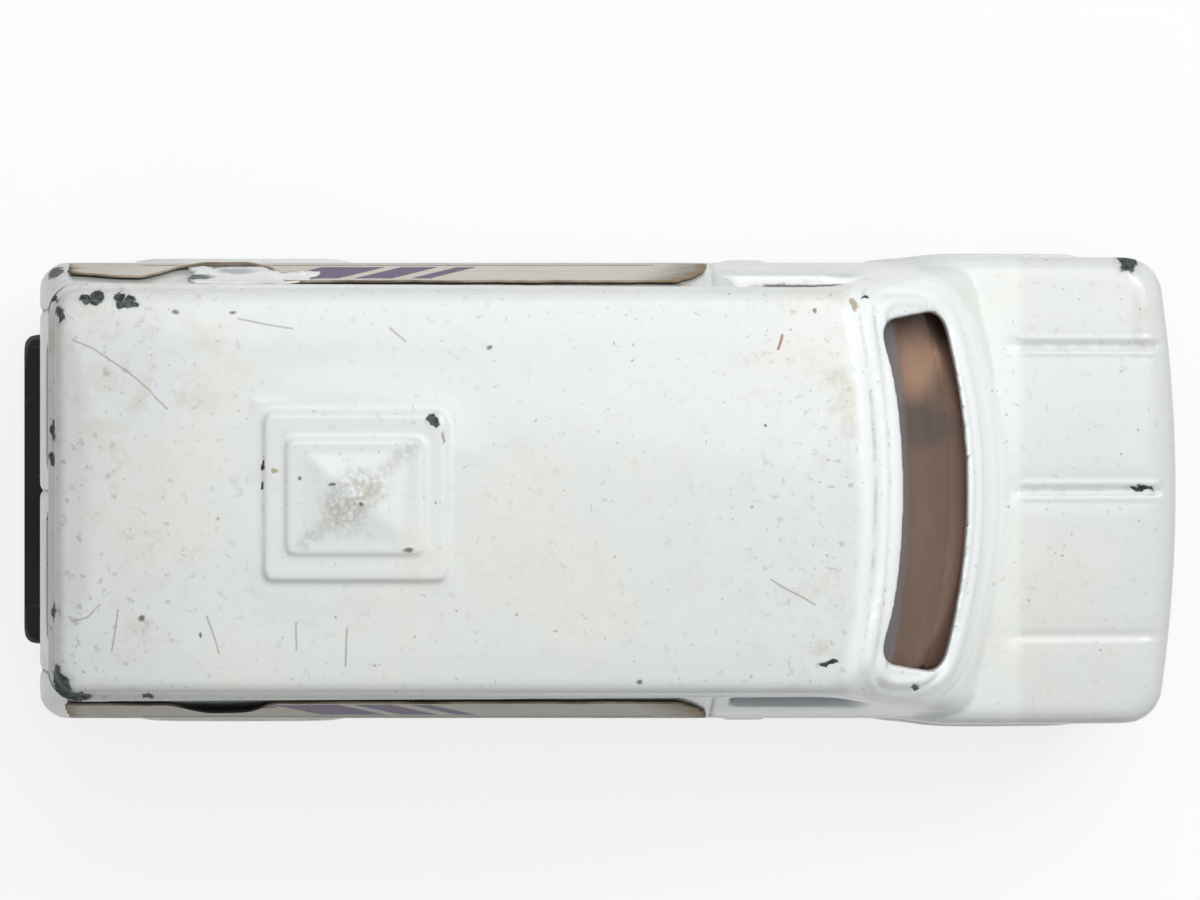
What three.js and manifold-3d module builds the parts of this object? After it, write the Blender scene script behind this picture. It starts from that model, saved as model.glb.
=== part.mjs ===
// Toy panel van: a painted die-cast body riveted over a moulded base, with tinted glazing, a moulding of
// seats and dash, a plated grille, paper side labels, and four wheels that roll on two steel axles.
// Sizes are in millimetres. +X points to the nose, +Y to the van's left, +Z up, and z = 0 is the ground.
import * as THREE from "three";
import { mergeVertices } from "three/addons/utils/BufferGeometryUtils.js";
import Module from "manifold-3d";

const wasm = await Module();
wasm.setup();

// Body casting: heights above the ground
const sillHeight = 4.4;
const flankHeight = 10;
const beltHeight = 16;
const cowlRise = 1.8;
const hoodDrop = 1.3;
const roofHeight = 28.6;
const roofDepth = 2.4;

// Body casting: lengths and widths
const overallLength = 73.6;
const bumperReach = 2.3;
const hoodLength = 11.1;
const lowerWidth = 29.1;
const sillTuck = 0.25;
const beltTuck = 0.2;
const waistTuck = 0.2;
const cabinTuck = 1.9;
const fenderSwell = 0.3;
const swellLength = 3.6;
const swellSetback = 3.3;
const rearLean = 2.2;
const wall = 1.2;

// Body casting: curves and edges
const noseBow = 0.8;
const noseRake = 0.4;
const noseCorner = 2.4;
const noseEdge = 1.5;
const fenderEdge = 1.3;
const hoodCrown = 0.45;
const rearCorner = 1.5;
const screenLean = 0.87;
const screenBow = 1.9;
const roofBow = 1.4;
const pillarCorner = 1.8;
const roofEdge = 1.15;
const roofCrown = 0.75;
const crownPull = 3;
const sharpEdge = 0.15;
const sharpCorner = 0.3;
const gutterProud = 0.3;
const gutterDepth = 0.55;

// Windscreen, door and rear windows
const screenSillRise = 2.8;
const screenHeadDrop = 0.6;
const screenSillPillar = 2.95;
const screenHeadPillar = 1.95;
const screenCorner = 1.1;
const screenFrame = 1.2;
const screenFrameProud = 0.35;
const doorSetback = 18.2;
const doorPost = 1.1;
const doorSillRise = 4.6;
const doorHeadDrop = 1.3;
const doorPillar = 4.3;
const rearWindowRise = 4.4;
const rearWindowDrop = 1.8;
const rearWindowWidth = 7.4;
const rearWindowGap = 3;
const windowCorner = 0.9;

// Roof vent, hood lines, door lines and small castings on the body
const ventFromRear = 20.5;
const ventOffset = -0.25;
const ventLength = 11.2;
const ventWidth = 10.4;
const ventHeight = 0.45;
const ventCorner = 0.5;
const ventCapLength = 8.4;
const ventCapWidth = 7.1;
const ventCapStep = 0.3;
const ventCapRise = 0.55;
const hoodPanelInset = 5.3;
const hoodLineWidth = 0.55;
const hoodLineDepth = 0.25;
const lineWidth = 0.3;
const lineDepth = 0.25;
const skinMargin = 0.5;
const doorRise = 1.6;
const rearDoorRise = 0.8;
const rearDoorInset = 1.05;
const archLip = 0.25;
const archLipWidth = 0.7;
const trimProud = 0.15;
const handleLength = 2.4;
const handleHeight = 0.6;
const handleDrop = 4;
const handleSetback = 1;
const hingeWidth = 1.2;
const hingeHeight = 0.8;
const hingeDrop = 3;
const tailLampWidth = 1.2;
const tailLampHeight = 3.2;
const tailLampDrop = 7;

// Wheels and axles
const wheelDiameter = 11;
const tyreWidth = 4;
const tyreWall = 2;
const tyreShoulder = 0.7;
const tyreBevel = 0.25;
const tyreBead = 0.6;
const wheelInset = 0.7;
const frontOverhang = 12.2;
const rearOverhang = 12.1;
const archClearance = 1.3;
const axleDiameter = 1.2;
const axleHead = 2.2;
const axleHeadLength = 0.45;
const axleHeadBevel = 0.2;
const runningClearance = 0.06;
const endPlay = 0.1;
const rimBarrel = 0.5;
const rimBoss = 3;
const rimSetback = 0.2;
const rimDish = 0.7;
const rimFace = 1.1;
const rimChamfer = 0.25;
const rimHole = 1.05;
const rimHoles = 6;

// Base, axle keepers and rivets
const baseBottom = 3.4;
const baseThickness = 1.3;
const baseFit = 0.3;
const bumperHeight = 3.2;
const bumperDepth = 2.1;
const bumperLap = 0.8;
const bumperCorner = 0.9;
const rearBumperWidth = 20.1;
const bumperWebInset = 2;
const saddleThickness = 2;
const saddleLength = 4.4;
const saddleSpread = 13;
const keeperThickness = 0.8;
const keeperStep = 1;
const stackGap = 0.06;
const rivetDiameter = 2.6;
const rivetShoulder = 4;
const rivetHead = 4.2;
const rivetHeadHeight = 0.6;
const rivetFit = 0.2;
const frontRivetSetback = 5.6;
const rearRivetSetback = 4.4;

// Relief moulded on the underside of the base
const padLength = 16;
const padWidth = 10;
const padDrop = 0.5;
const railWidth = 1.2;
const railSpread = 14;
const railDrop = 0.35;
const sumpLength = 5.8;
const sumpWidth = 5.2;
const sumpDrop = 0.8;
const gearboxLength = 5.2;
const gearboxWidth = 3;
const shaftDiameter = 1.4;
const differentialDiameter = 3.8;
const differentialWidth = 3.2;
const axleTubeDiameter = 1.8;
const axleTubeRise = 0.2;
const outriggerSpread = 20;
const tankLength = 11;
const tankWidth = 3.4;
const silencerDiameter = 2.4;
const silencerLength = 11;
const silencerRise = 0.4;
const pipeDiameter = 1;
const pipeLength = 22;

// Glazing, interior, labels and grille
const glassFit = 0.15;
const glass = 0.8;
const glassLap = 1;
const floorThickness = 0.9;
const interiorFit = 0.4;
const wheelBoxWall = 0.7;
const seatWidth = 6.6;
const seatSpread = 9.8;
const seatRise = 4.4;
const seatSetback = 0.4;
const seatLength = 6;
const seatBackThickness = 1.8;
const seatBackLean = 0.6;
const seatRound = 0.5;
const cushionHeight = 4;
const coverWidth = 2.4;
const coverHeight = 3;
const bulkheadThickness = 3;
const dashRise = 0.6;
const dashDepth = 4.6;
const dashCorner = 0.6;
const steeringDiameter = 5.2;
const steeringRing = 0.7;
const steeringDrop = 1.2;
const columnTilt = THREE.MathUtils.degToRad(40);
const labelSetback = 2.5;
const labelRise = 0.5;
const labelDrop = 1.7;
const labelThickness = 0.12;
const labelGap = 0.04;
const grilleWidth = 20.4;
const grilleHeight = 4.4;
const grilleDrop = 2.9;
const grilleFit = 0.2;
const grilleRecess = 0.7;
const grilleFlange = 0.7;
const grilleLap = 0.8;
const grilleRim = 0.4;
const grillePanelDepth = 0.5;
const grilleBars = 5;
const grilleBarRecess = 0.15;
const headlampDiameter = 3.4;
const headlampInset = 0.5;

// Places worked out from the sizes above
const cowlHeight = beltHeight + cowlRise;
const gutterHeight = roofHeight - roofDepth;
const beltWidth = lowerWidth - 2 * beltTuck;
const waistWidth = beltWidth - 2 * waistTuck;
const gutterWidth = waistWidth - 2 * cabinTuck;
const noseX = overallLength / 2;
const rearEndX = -overallLength / 2;
const rearX = rearEndX + bumperReach;
const rearFaceEnd = rearX + rearLean + wall;
const cowlX = noseX - hoodLength;
const swellEnd = cowlX - swellSetback;
const swellStart = swellEnd - swellLength;
const wheelRadius = wheelDiameter / 2;
const axleZ = wheelRadius;
const frontAxleX = noseX - frontOverhang;
const rearAxleX = rearX + rearOverhang;
const axleXs = [frontAxleX, rearAxleX];
const tyreOuterY = lowerWidth / 2 - wheelInset;
const tyreInnerY = tyreOuterY - tyreWidth;
const archRadius = wheelRadius + archClearance;
const wheelWellY = tyreInnerY - baseFit * 2;
const baseTop = baseBottom + baseThickness;
const bumperTop = baseBottom + bumperHeight;
const saddleTop = axleZ + axleDiameter / 2 + stackGap;
const keeperBottom = saddleTop + stackGap;
const floorBottom = keeperBottom + keeperThickness + stackGap;
const floorTop = floorBottom + floorThickness;
const doorRear = cowlX - doorSetback;
const doorSill = beltHeight + doorSillRise;
const rearDoorHalf = gutterWidth / 2 - rearDoorInset;
const grilleHead = beltHeight - grilleDrop;
const grilleSill = grilleHead - grilleHeight;
const dashHeight = cowlHeight + dashRise;
const frontRivetX = noseX - frontRivetSetback;
const rearRivetX = rearX + rearRivetSetback;
const sideLean = (waistWidth - gutterWidth) / 2 / (gutterHeight - beltHeight);
const rearSlope = rearLean / (gutterHeight - beltHeight);
const screenSlant = Math.hypot(1, screenLean);
const dashInset = wall + glassFit + glass + interiorFit;
const beyond = overallLength;

// How finely curves are divided
const cornerSteps = 5;
const tightSteps = 2;
const tightCorner = 0.8;
const edgeSteps = 4;
const bowSteps = 6;
const roundSegments = 24;
const archSegments = 48;
const postSegments = 16;
const tubeSegments = 12;

// Points along an arc, with both ends
function arc(cx, cy, radius, from, to, steps) {
  return Array.from({ length: steps + 1 }, (_, i) => {
    const angle = from + ((to - from) * i) / steps;
    return new THREE.Vector2(cx + radius * Math.cos(angle), cy + radius * Math.sin(angle));
  });
}

// A polygon with each corner rounded
function rounded(corners, radius, steps = 3) {
  const count = corners.length;
  return corners.flatMap((corner, i) => {
    const before = corners[(i + count - 1) % count].clone().sub(corner).setLength(radius).add(corner);
    const after = corners[(i + 1) % count].clone().sub(corner).setLength(radius).add(corner);
    return new THREE.QuadraticBezierCurve(before, corner, after).getPoints(steps);
  });
}

// The same outline with its long sides divided, so that they can follow a curve
function divided(outline, longest) {
  return outline.flatMap((from, i) => {
    const to = outline[(i + 1) % outline.length];
    const steps = Math.ceil(from.distanceTo(to) / longest);
    return Array.from({ length: steps }, (_, k) => from.clone().lerp(to, k / steps));
  });
}

const points = (pairs) => pairs.map(([x, y]) => new THREE.Vector2(x, y));

function rectangle(x0, x1, y0, y1) {
  return points([
    [x0, y0],
    [x1, y0],
    [x1, y1],
    [x0, y1],
  ]);
}

// Outline of one level of the body, from its rear right corner round the front to its rear left corner
function planOutline({ rear, front, half, swell = 0, stations = [], rearRadius, frontRadius, bow, turns }) {
  const shoulder = front - bow;
  const bowHalf = half + swell - frontRadius;
  const side = (x) => -half - swell * THREE.MathUtils.smoothstep(x, swellStart, swellEnd);
  const bowPoints = Array.from({ length: bowSteps - 1 }, (_, i) => {
    const y = -bowHalf * (1 - (i + 1) / bowSteps);
    return new THREE.Vector2(front - bow * (y / bowHalf) ** 2, y);
  });
  const right = [
    ...arc(rear + rearRadius, rearRadius - half, rearRadius, Math.PI, 1.5 * Math.PI, turns),
    ...stations.map((x) => new THREE.Vector2(x, side(x))),
    ...arc(shoulder - frontRadius, -bowHalf, frontRadius, 1.5 * Math.PI, 2 * Math.PI, turns),
    ...bowPoints,
  ];
  const left = right.map((p) => new THREE.Vector2(p.x, -p.y)).reverse();
  return [...right, new THREE.Vector2(front, 0), ...left];
}

// A level drawn in towards the middle, for the rings of a crowned top
function narrowed(level, share) {
  const pull = crownPull * (1 - share);
  return {
    ...level,
    rear: level.rear + pull,
    front: level.front - pull,
    half: level.half * share,
    swell: level.swell * share,
    rearRadius: level.rearRadius * share,
    frontRadius: level.frontRadius * share,
    bow: level.bow * share ** 2,
  };
}

// Height of a crown, at a share of the way from the middle to the side
const crown = (height, across) => height * Math.max(0, 1 - across ** 2);

// Turns a closed three.js geometry into a solid for joining and cutting
function solid(geometry) {
  const bare = new THREE.BufferGeometry();
  bare.setAttribute("position", geometry.getAttribute("position"));
  bare.setIndex(geometry.index);
  const merged = mergeVertices(bare, 1e-4);
  const vertProperties = new Float32Array(merged.getAttribute("position").array);
  const triVerts = new Uint32Array(merged.index.array);
  return new wasm.Manifold(new wasm.Mesh({ numProp: 3, vertProperties, triVerts }));
}

function solidOf(positions, faces) {
  const geometry = new THREE.BufferGeometry();
  geometry.setAttribute("position", new THREE.Float32BufferAttribute(positions, 3));
  geometry.setIndex(faces);
  return solid(geometry);
}

// A closed solid skinned over rings of points, each ring symmetrical about y = 0 and ordered as planOutline
function loft(rings) {
  const count = rings[0].length;
  const faces = [];
  const quad = (a, b, c, d) => faces.push(a, b, c, a, c, d);
  for (let level = 0; level + 1 < rings.length; level++) {
    const low = level * count;
    const high = low + count;
    for (let j = 0; j < count; j++) {
      const k = (j + 1) % count;
      quad(low + j, low + k, high + k, high + j);
    }
  }
  const top = (rings.length - 1) * count;
  for (let j = 0; j < (count - 1) / 2; j++) {
    const near = j + 1;
    const far = count - 2 - j;
    const last = count - 1 - j;
    if (near === far) {
      faces.push(top + j, top + near, top + last);
      faces.push(j, last, near);
    } else {
      quad(top + j, top + near, top + far, top + last);
      quad(j, last, far, near);
    }
  }
  return solidOf(rings.flat().flatMap((p) => p.toArray()), faces);
}

// A ring of 3-D points from a flat outline and a height, which may vary from point to point
function ring(outline, height) {
  const heightAt = typeof height === "function" ? height : () => height;
  return outline.map((p) => new THREE.Vector3(p.x, p.y, heightAt(p.x, p.y)));
}

// A block between two outlines of as many points, one above the other
function frustum(lower, upper, z0, z1) {
  const count = lower.length;
  const positions = [...lower.flatMap((p) => [p.x, p.y, z0]), ...upper.flatMap((p) => [p.x, p.y, z1])];
  const faces = [];
  for (let i = 0; i < count; i++) {
    const next = (i + 1) % count;
    faces.push(i, next, count + next, i, count + next, count + i);
  }
  for (let i = 1; i + 1 < count; i++) {
    faces.push(0, i + 1, i);
    faces.push(count, count + i, count + i + 1);
  }
  return solidOf(positions, faces);
}

// A straight prism of a flat outline, which is (y, z) for one along x, (x, z) along y and (x, y) along z
const prismAxes = {
  x: [new THREE.Vector3(0, 1, 0), new THREE.Vector3(0, 0, 1), new THREE.Vector3(1, 0, 0)],
  y: [new THREE.Vector3(1, 0, 0), new THREE.Vector3(0, 0, 1), new THREE.Vector3(0, -1, 0)],
  z: [new THREE.Vector3(1, 0, 0), new THREE.Vector3(0, 1, 0), new THREE.Vector3(0, 0, 1)],
};
function prism(outline, axis, from, to) {
  const options = { depth: to - from, bevelEnabled: false };
  const geometry = new THREE.ExtrudeGeometry(new THREE.Shape(outline), options);
  geometry.applyMatrix4(new THREE.Matrix4().makeBasis(...prismAxes[axis]));
  const shift = { x: [from, 0, 0], y: [0, to, 0], z: [0, 0, from] }[axis];
  return solid(geometry.translate(...shift));
}

function box(x0, x1, y0, y1, z0, z1) {
  const geometry = new THREE.BoxGeometry(x1 - x0, y1 - y0, z1 - z0);
  return solid(geometry.translate((x0 + x1) / 2, (y0 + y1) / 2, (z0 + z1) / 2));
}

function cylinderX(radius, y, z, x0, x1, segments = roundSegments) {
  const geometry = new THREE.CylinderGeometry(radius, radius, x1 - x0, segments).rotateZ(Math.PI / 2);
  return solid(geometry.translate((x0 + x1) / 2, y, z));
}

function cylinderY(radius, x, z, y0, y1, segments = roundSegments) {
  const geometry = new THREE.CylinderGeometry(radius, radius, y1 - y0, segments);
  return solid(geometry.translate(x, (y0 + y1) / 2, z));
}

function cylinderZ(radius, x, y, z0, z1, segments = roundSegments) {
  const geometry = new THREE.CylinderGeometry(radius, radius, z1 - z0, segments).rotateX(Math.PI / 2);
  return solid(geometry.translate(x, y, (z0 + z1) / 2));
}

const join = (solids) => solids.reduce((whole, piece) => whole.add(piece));

// One thing for each wheel, given its axle's place and a span from one y to another on its side of the van
function atWheels(build) {
  return axleXs.flatMap((axleX) => [
    build(axleX, (from, to) => [from, to]),
    build(axleX, (from, to) => [-to, -from]),
  ]);
}

// Top of the fenders and hood along the van, below the crown
function shoulderTop(x) {
  const rise = THREE.MathUtils.smoothstep(x, swellStart, swellEnd);
  const along = THREE.MathUtils.clamp((x - cowlX) / hoodLength, 0, 1);
  return beltHeight + (cowlHeight - hoodCrown - beltHeight) * rise - hoodDrop * along;
}

// A level of the lower body, drawn in by inset and by the edges of its top
function lowerLevel(half, front, inset, edge = 0, frontEdge = edge) {
  const swellStations = [0, 1, 2, 3, 4].map((i) => swellStart + (i * swellLength) / 4);
  const hoodStations = [0, 1, 2].map((i) => cowlX + (i * hoodLength) / 4);
  const rearRadius = Math.max(rearCorner - inset, sharpCorner);
  return {
    rear: rearX + inset + edge,
    front: front - inset - frontEdge,
    half: half - inset - edge,
    swell: fenderSwell,
    stations: [...swellStations, ...hoodStations],
    rearRadius,
    frontRadius: Math.max(noseCorner - inset - edge / 2, sharpCorner),
    bow: noseBow,
    turns: rearRadius > tightCorner ? cornerSteps : tightSteps,
  };
}

// The van's outline at the sills
const sillOutline = (inset) => planOutline(lowerLevel(lowerWidth / 2 - sillTuck, noseX - noseRake, inset));

// Sills, flanks, fenders and hood
function lowerBody({ inset = 0, bottom = sillHeight } = {}) {
  const edge = Math.max(fenderEdge - inset, sharpEdge);
  const frontEdge = Math.max(noseEdge - inset, sharpEdge);
  const crownHalf = beltWidth / 2 + fenderSwell - inset - edge;
  const top = (x, y) => shoulderTop(x) - inset + crown(hoodCrown, y / crownHalf);
  const rings = [
    ring(sillOutline(inset), bottom),
    ring(planOutline(lowerLevel(lowerWidth / 2, noseX, inset)), flankHeight),
  ];
  const steps = edge > sharpEdge ? edgeSteps : 1;
  for (let i = 0; i <= steps; i++) {
    const angle = (i / steps) * (Math.PI / 2);
    const draw = 1 - Math.cos(angle);
    const level = lowerLevel(beltWidth / 2, noseX, inset, edge * draw, frontEdge * draw);
    rings.push(ring(planOutline(level), (x, y) => top(x, y) - edge * (1 - Math.sin(angle))));
  }
  const rim = lowerLevel(beltWidth / 2, noseX, inset, edge, frontEdge);
  for (const share of [0.7, 0.4]) {
    rings.push(ring(planOutline(narrowed(rim, share)), top));
  }
  return loft(rings);
}

// The windscreen's outer face on the centre line, and how far its ends lie behind that
const screenX = (z) => cowlX - screenLean * (z - cowlHeight);
const screenBowAt = (z) => THREE.MathUtils.mapLinear(z, cowlHeight, roofHeight, screenBow, roofBow);

// Half the cabin's width at a height
const cabinHalf = (z) => waistWidth / 2 - sideLean * Math.max(z - beltHeight, 0);

// A level of the cabin, drawn in by inset and by the roof's edge
function cabinLevel(z, inset, edge = 0) {
  const rearRadius = Math.max(rearCorner - inset, sharpCorner);
  return {
    rear: rearX + rearSlope * Math.max(z - beltHeight, 0) + inset + edge,
    front: screenX(z) - inset * screenSlant - edge,
    half: cabinHalf(z) - inset - edge,
    swell: 0,
    rearRadius,
    frontRadius: Math.max(pillarCorner - inset, sharpCorner),
    bow: screenBowAt(z),
    turns: rearRadius > tightCorner ? cornerSteps : tightSteps,
  };
}

// Rain gutter round the sides and the rear of the roof
function gutterRings() {
  const low = gutterHeight - gutterDepth;
  const flat = planOutline(cabinLevel(low, 0));
  const proud = planOutline(cabinLevel(low, -gutterProud));
  const ridge = flat.map((p, i) => (p.x > 0 && proud[i].x > p.x ? p : proud[i]));
  return [
    ring(flat, low - gutterProud),
    ring(ridge, low),
    ring(ridge, gutterHeight - gutterDepth / 3),
    ring(planOutline(cabinLevel(gutterHeight, 0)), gutterHeight),
  ];
}

// Cabin and cargo box above the belt, with the windscreen as its front
function cabin({ inset = 0, bottom = beltHeight - fenderEdge / 2, gutter = false } = {}) {
  const edge = Math.max(roofEdge - inset, sharpEdge);
  const edgeBottom = roofHeight - roofCrown - inset - edge;
  const rim = cabinLevel(edgeBottom, inset, edge);
  const crowned = (level, z) =>
    planOutline(level).map((p) => {
      const lift = crown(roofCrown, p.y / rim.half);
      const lean = p.x > 0 ? -screenLean : rearSlope;
      return new THREE.Vector3(p.x + lean * lift, p.y, z + lift);
    });
  const rings = [ring(planOutline(cabinLevel(bottom, inset)), bottom)];
  if (bottom < beltHeight) rings.push(ring(planOutline(cabinLevel(beltHeight, inset)), beltHeight));
  if (gutter) rings.push(...gutterRings());
  const steps = edge > sharpEdge ? edgeSteps : 1;
  for (let i = 0; i <= steps; i++) {
    const angle = (i / steps) * (Math.PI / 2);
    const level = cabinLevel(edgeBottom, inset, edge * (1 - Math.cos(angle)));
    rings.push(crowned(level, edgeBottom + edge * Math.sin(angle)));
  }
  for (const share of [0.8, 0.6, 0.4, 0.2]) {
    rings.push(crowned(narrowed(rim, share), edgeBottom + edge));
  }
  return loft(rings);
}

// Thin shells over the body's surface, for details that stand out of it or are cut into it
const lowerCore = (depth) => lowerBody({ inset: depth, bottom: 0 });
const cabinCore = (depth) => cabin({ inset: depth, bottom: 0 });
const lowerSkin = (proud, depth) => lowerBody({ inset: -proud }).subtract(lowerCore(depth));
const cabinSkin = (proud, depth) => cabin({ inset: -proud }).subtract(cabinCore(depth));

// A point on the windscreen's outer face, seen in plan
function screenPlan(y, z) {
  const bowHalf = cabinHalf(z) - pillarCorner;
  return new THREE.Vector2(screenX(z) - screenBowAt(z) * (y / bowHalf) ** 2, y);
}

// Windscreen opening in plan, grown all round; the casting die draws upwards, so its walls are upright
function screenOutline(grow) {
  const low = cowlHeight + screenSillRise - grow;
  const high = gutterHeight - screenHeadDrop + grow;
  const wide = waistWidth / 2 - screenSillPillar + grow;
  const narrow = gutterWidth / 2 - screenHeadPillar + grow;
  const corners = points([
    [-wide, low],
    [wide, low],
    [narrow, high],
    [-narrow, high],
  ]);
  const outline = rounded(corners, screenCorner + grow, 4);
  return divided(outline, wide / 5).map((p) => screenPlan(p.x, p.y));
}

const screenPrism = (grow) => prism(screenOutline(grow), "z", beltHeight, roofHeight + wall);

// Door window as seen from the side, with its front edge along the windscreen pillar
function doorWindowOutline() {
  const doorHead = gutterHeight - doorHeadDrop;
  const pillar = (z) => screenX(z) - screenBowAt(z) - doorPillar;
  const corners = points([
    [doorRear + doorPost, doorSill],
    [pillar(doorSill), doorSill],
    [pillar(doorHead), doorHead],
    [doorRear + doorPost, doorHead],
  ]);
  return rounded(corners, windowCorner);
}

// A stepped vent cast into the roof: a flat pad, a second step and a low four-sided cap
function roofVent() {
  const ventX = rearX + ventFromRear;
  const step = (length, width, slope, z0, z1) => {
    const outline = (inset) => {
      const x = length / 2 - inset;
      const y = width / 2 - inset;
      return rounded(rectangle(ventX - x, ventX + x, ventOffset - y, ventOffset + y), ventCorner, 2);
    };
    return frustum(outline(0), outline(slope / 2), z0, z1);
  };
  const roofTop = roofHeight - roofCrown / 4;
  const padTop = roofTop + ventHeight;
  const capBase = padTop + ventCapStep;
  const pad = step(ventLength, ventWidth, ventHeight, roofTop - wall / 2, padTop);
  const riser = step(ventCapLength, ventCapWidth, ventCapStep, padTop - ventHeight / 2, capBase);
  const capLength = ventCapLength - ventCapStep * 2;
  const capWidth = ventCapWidth - ventCapStep * 2;
  const pyramid = new THREE.ConeGeometry(Math.SQRT1_2, 1, 4, 1).rotateY(Math.PI / 4).rotateX(Math.PI / 2);
  pyramid.scale(capLength, capWidth, ventCapRise + ventCapStep / 2);
  const cap = solid(pyramid.translate(ventX, ventOffset, capBase + (ventCapRise - ventCapStep / 2) / 2));
  return join([pad, riser, cap]);
}

// Lines pressed into the hood: one on each side of its panel and a finer one along the middle
function hoodLines() {
  const line = (y, width) => {
    return box(cowlX, noseX - noseEdge * 0.8, y - width / 2, y + width / 2, flankHeight, roofHeight);
  };
  const side = beltWidth / 2 - hoodPanelInset;
  const lines = [line(-side, hoodLineWidth), line(side, hoodLineWidth), line(0, hoodLineWidth * 0.7)];
  return lowerSkin(skinMargin, hoodLineDepth).intersect(join(lines)).subtract(cabin());
}

// Shut lines of the front doors, on both sides, and of the rear doors
function doorLines() {
  const half = lineWidth / 2;
  const upright = (x, z0, z1) => box(x - half, x + half, -beyond, beyond, z0, z1);
  const doorBottom = sillHeight + doorRise;
  const doorTop = gutterHeight - gutterDepth - gutterProud;
  const sides = join([
    upright(doorRear, doorBottom, doorTop),
    upright(swellStart, axleZ + archRadius, doorSill),
    box(doorRear, frontAxleX - archRadius, -beyond, beyond, doorBottom - half, doorBottom + half),
  ]);
  const foot = bumperTop + rearDoorRise;
  const atRear = (y) => box(-beyond, rearFaceEnd, y - half, y + half, foot, doorTop);
  const rearFoot = box(-beyond, rearFaceEnd, -rearDoorHalf, rearDoorHalf, foot - half, foot + half);
  const ends = join([atRear(0), atRear(-rearDoorHalf), atRear(rearDoorHalf), rearFoot]);
  const skin = lowerSkin(skinMargin, lineDepth).add(cabinSkin(skinMargin, lineDepth));
  const inside = lowerCore(lineDepth).add(cabinCore(lineDepth));
  return skin.intersect(sides.add(ends)).subtract(inside);
}

// Raised trim that follows the lower body: arch lips, door handles, hinges and tail lamps
function raisedTrim() {
  const lipRadius = archRadius + archLipWidth;
  const lips = axleXs.map((x) => cylinderY(lipRadius, x, axleZ, -beyond, beyond, archSegments));
  const lipBand = lowerSkin(archLip, wall / 2).intersect(join(lips));
  const handleZ = beltHeight - handleDrop;
  const handleX = doorRear + handleSetback;
  const handles = box(handleX, handleX + handleLength, -beyond, beyond, handleZ, handleZ + handleHeight);
  const onRear = (y, width, z, height) => {
    return box(-beyond, rearX + wall, y - width / 2, y + width / 2, z, z + height);
  };
  const lampY = lowerWidth / 2 - rearCorner - tailLampWidth / 2;
  const rearTrim = [-1, 1].flatMap((side) => [
    onRear(side * lampY, tailLampWidth, beltHeight - tailLampDrop, tailLampHeight),
    onRear(side * rearDoorHalf, hingeWidth, beltHeight - hingeDrop, hingeHeight),
  ]);
  const rearHandle = onRear(handleLength / 2 + lineWidth * 2, handleLength, handleZ, handleHeight);
  const trim = lowerSkin(trimProud, wall / 2).intersect(join([handles, rearHandle, ...rearTrim]));
  return lipBand.add(trim);
}

// Posts inside the body whose ends are spread under the base as rivets
function rivetPosts() {
  const headTop = baseBottom - stackGap;
  const post = (x, top) =>
    join([
      cylinderZ(rivetShoulder / 2, x, 0, baseTop + stackGap, top, postSegments),
      cylinderZ(rivetDiameter / 2, x, 0, headTop - rivetHeadHeight / 2, baseTop + wall, postSegments),
      cylinderZ(rivetHead / 2, x, 0, headTop - rivetHeadHeight, headTop, postSegments),
    ]);
  const rearTop = beltHeight - wall;
  const web = box(rearX + wall / 2, rearRivetX, -wall / 2, wall / 2, bumperTop, rearTop);
  return join([post(frontRivetX, shoulderTop(frontRivetX) - wall / 2), post(rearRivetX, rearTop), web]);
}

function buildBody() {
  const screenBead = cabinSkin(screenFrameProud, wall / 2).intersect(screenPrism(screenFrame));
  const hollow = lowerBody({ inset: wall, bottom: 0 }).add(cabin({ inset: wall, bottom: flankHeight }));
  const arches = atWheels((x, span) => {
    return cylinderY(archRadius, x, axleZ, ...span(wheelWellY, beyond), archSegments);
  });
  const rearSill = beltHeight + rearWindowRise;
  const rearHead = gutterHeight - rearWindowDrop;
  const rearWindows = [-1, 1].map((side) => {
    const middle = (side * (rearWindowGap + rearWindowWidth)) / 2;
    const half = rearWindowWidth / 2;
    const corners = rectangle(middle - half, middle + half, rearSill, rearHead);
    return prism(rounded(corners, windowCorner), "x", -beyond, rearFaceEnd);
  });
  const grilleOpening = box(cowlX, beyond, -grilleWidth / 2, grilleWidth / 2, grilleSill, grilleHead);
  const bumperBack = noseX - noseCorner - bumperDepth;
  const bumperGap = box(bumperBack, beyond, -beyond, beyond, 0, bumperTop + baseFit);
  const cuts = join([
    hollow,
    ...arches,
    screenPrism(0),
    prism(doorWindowOutline(), "y", -beyond, beyond),
    ...rearWindows,
    grilleOpening,
    bumperGap,
    doorLines(),
  ]);
  const casting = lowerBody().add(cabin({ gutter: true })).subtract(hoodLines());
  const outer = join([casting, roofVent(), screenBead, raisedTrim()]);
  return outer.subtract(cuts).add(rivetPosts());
}

function buildGlazing() {
  const outside = wall + glassFit;
  const inner = cabin({ inset: outside + glass, bottom: 0 });
  const shell = cabin({ inset: outside, bottom: doorSill - glassLap }).subtract(inner);
  const cargoSides = box(rearFaceEnd + glass * 2, doorRear, -beyond, beyond, 0, gutterHeight - glassLap);
  return shell.subtract(cargoSides);
}

// The floor plan inside the sills, drawn in by inset, with room left for the wheels
function floorPlate(inset, z0, z1) {
  const outline = sillOutline(inset);
  const wells = atWheels((x, span) => {
    return box(x - archRadius, x + archRadius, ...span(wheelWellY, beyond), -beyond, beyond);
  });
  return loft([ring(outline, z0), ring(outline, z1)]).subtract(join(wells));
}

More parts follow.
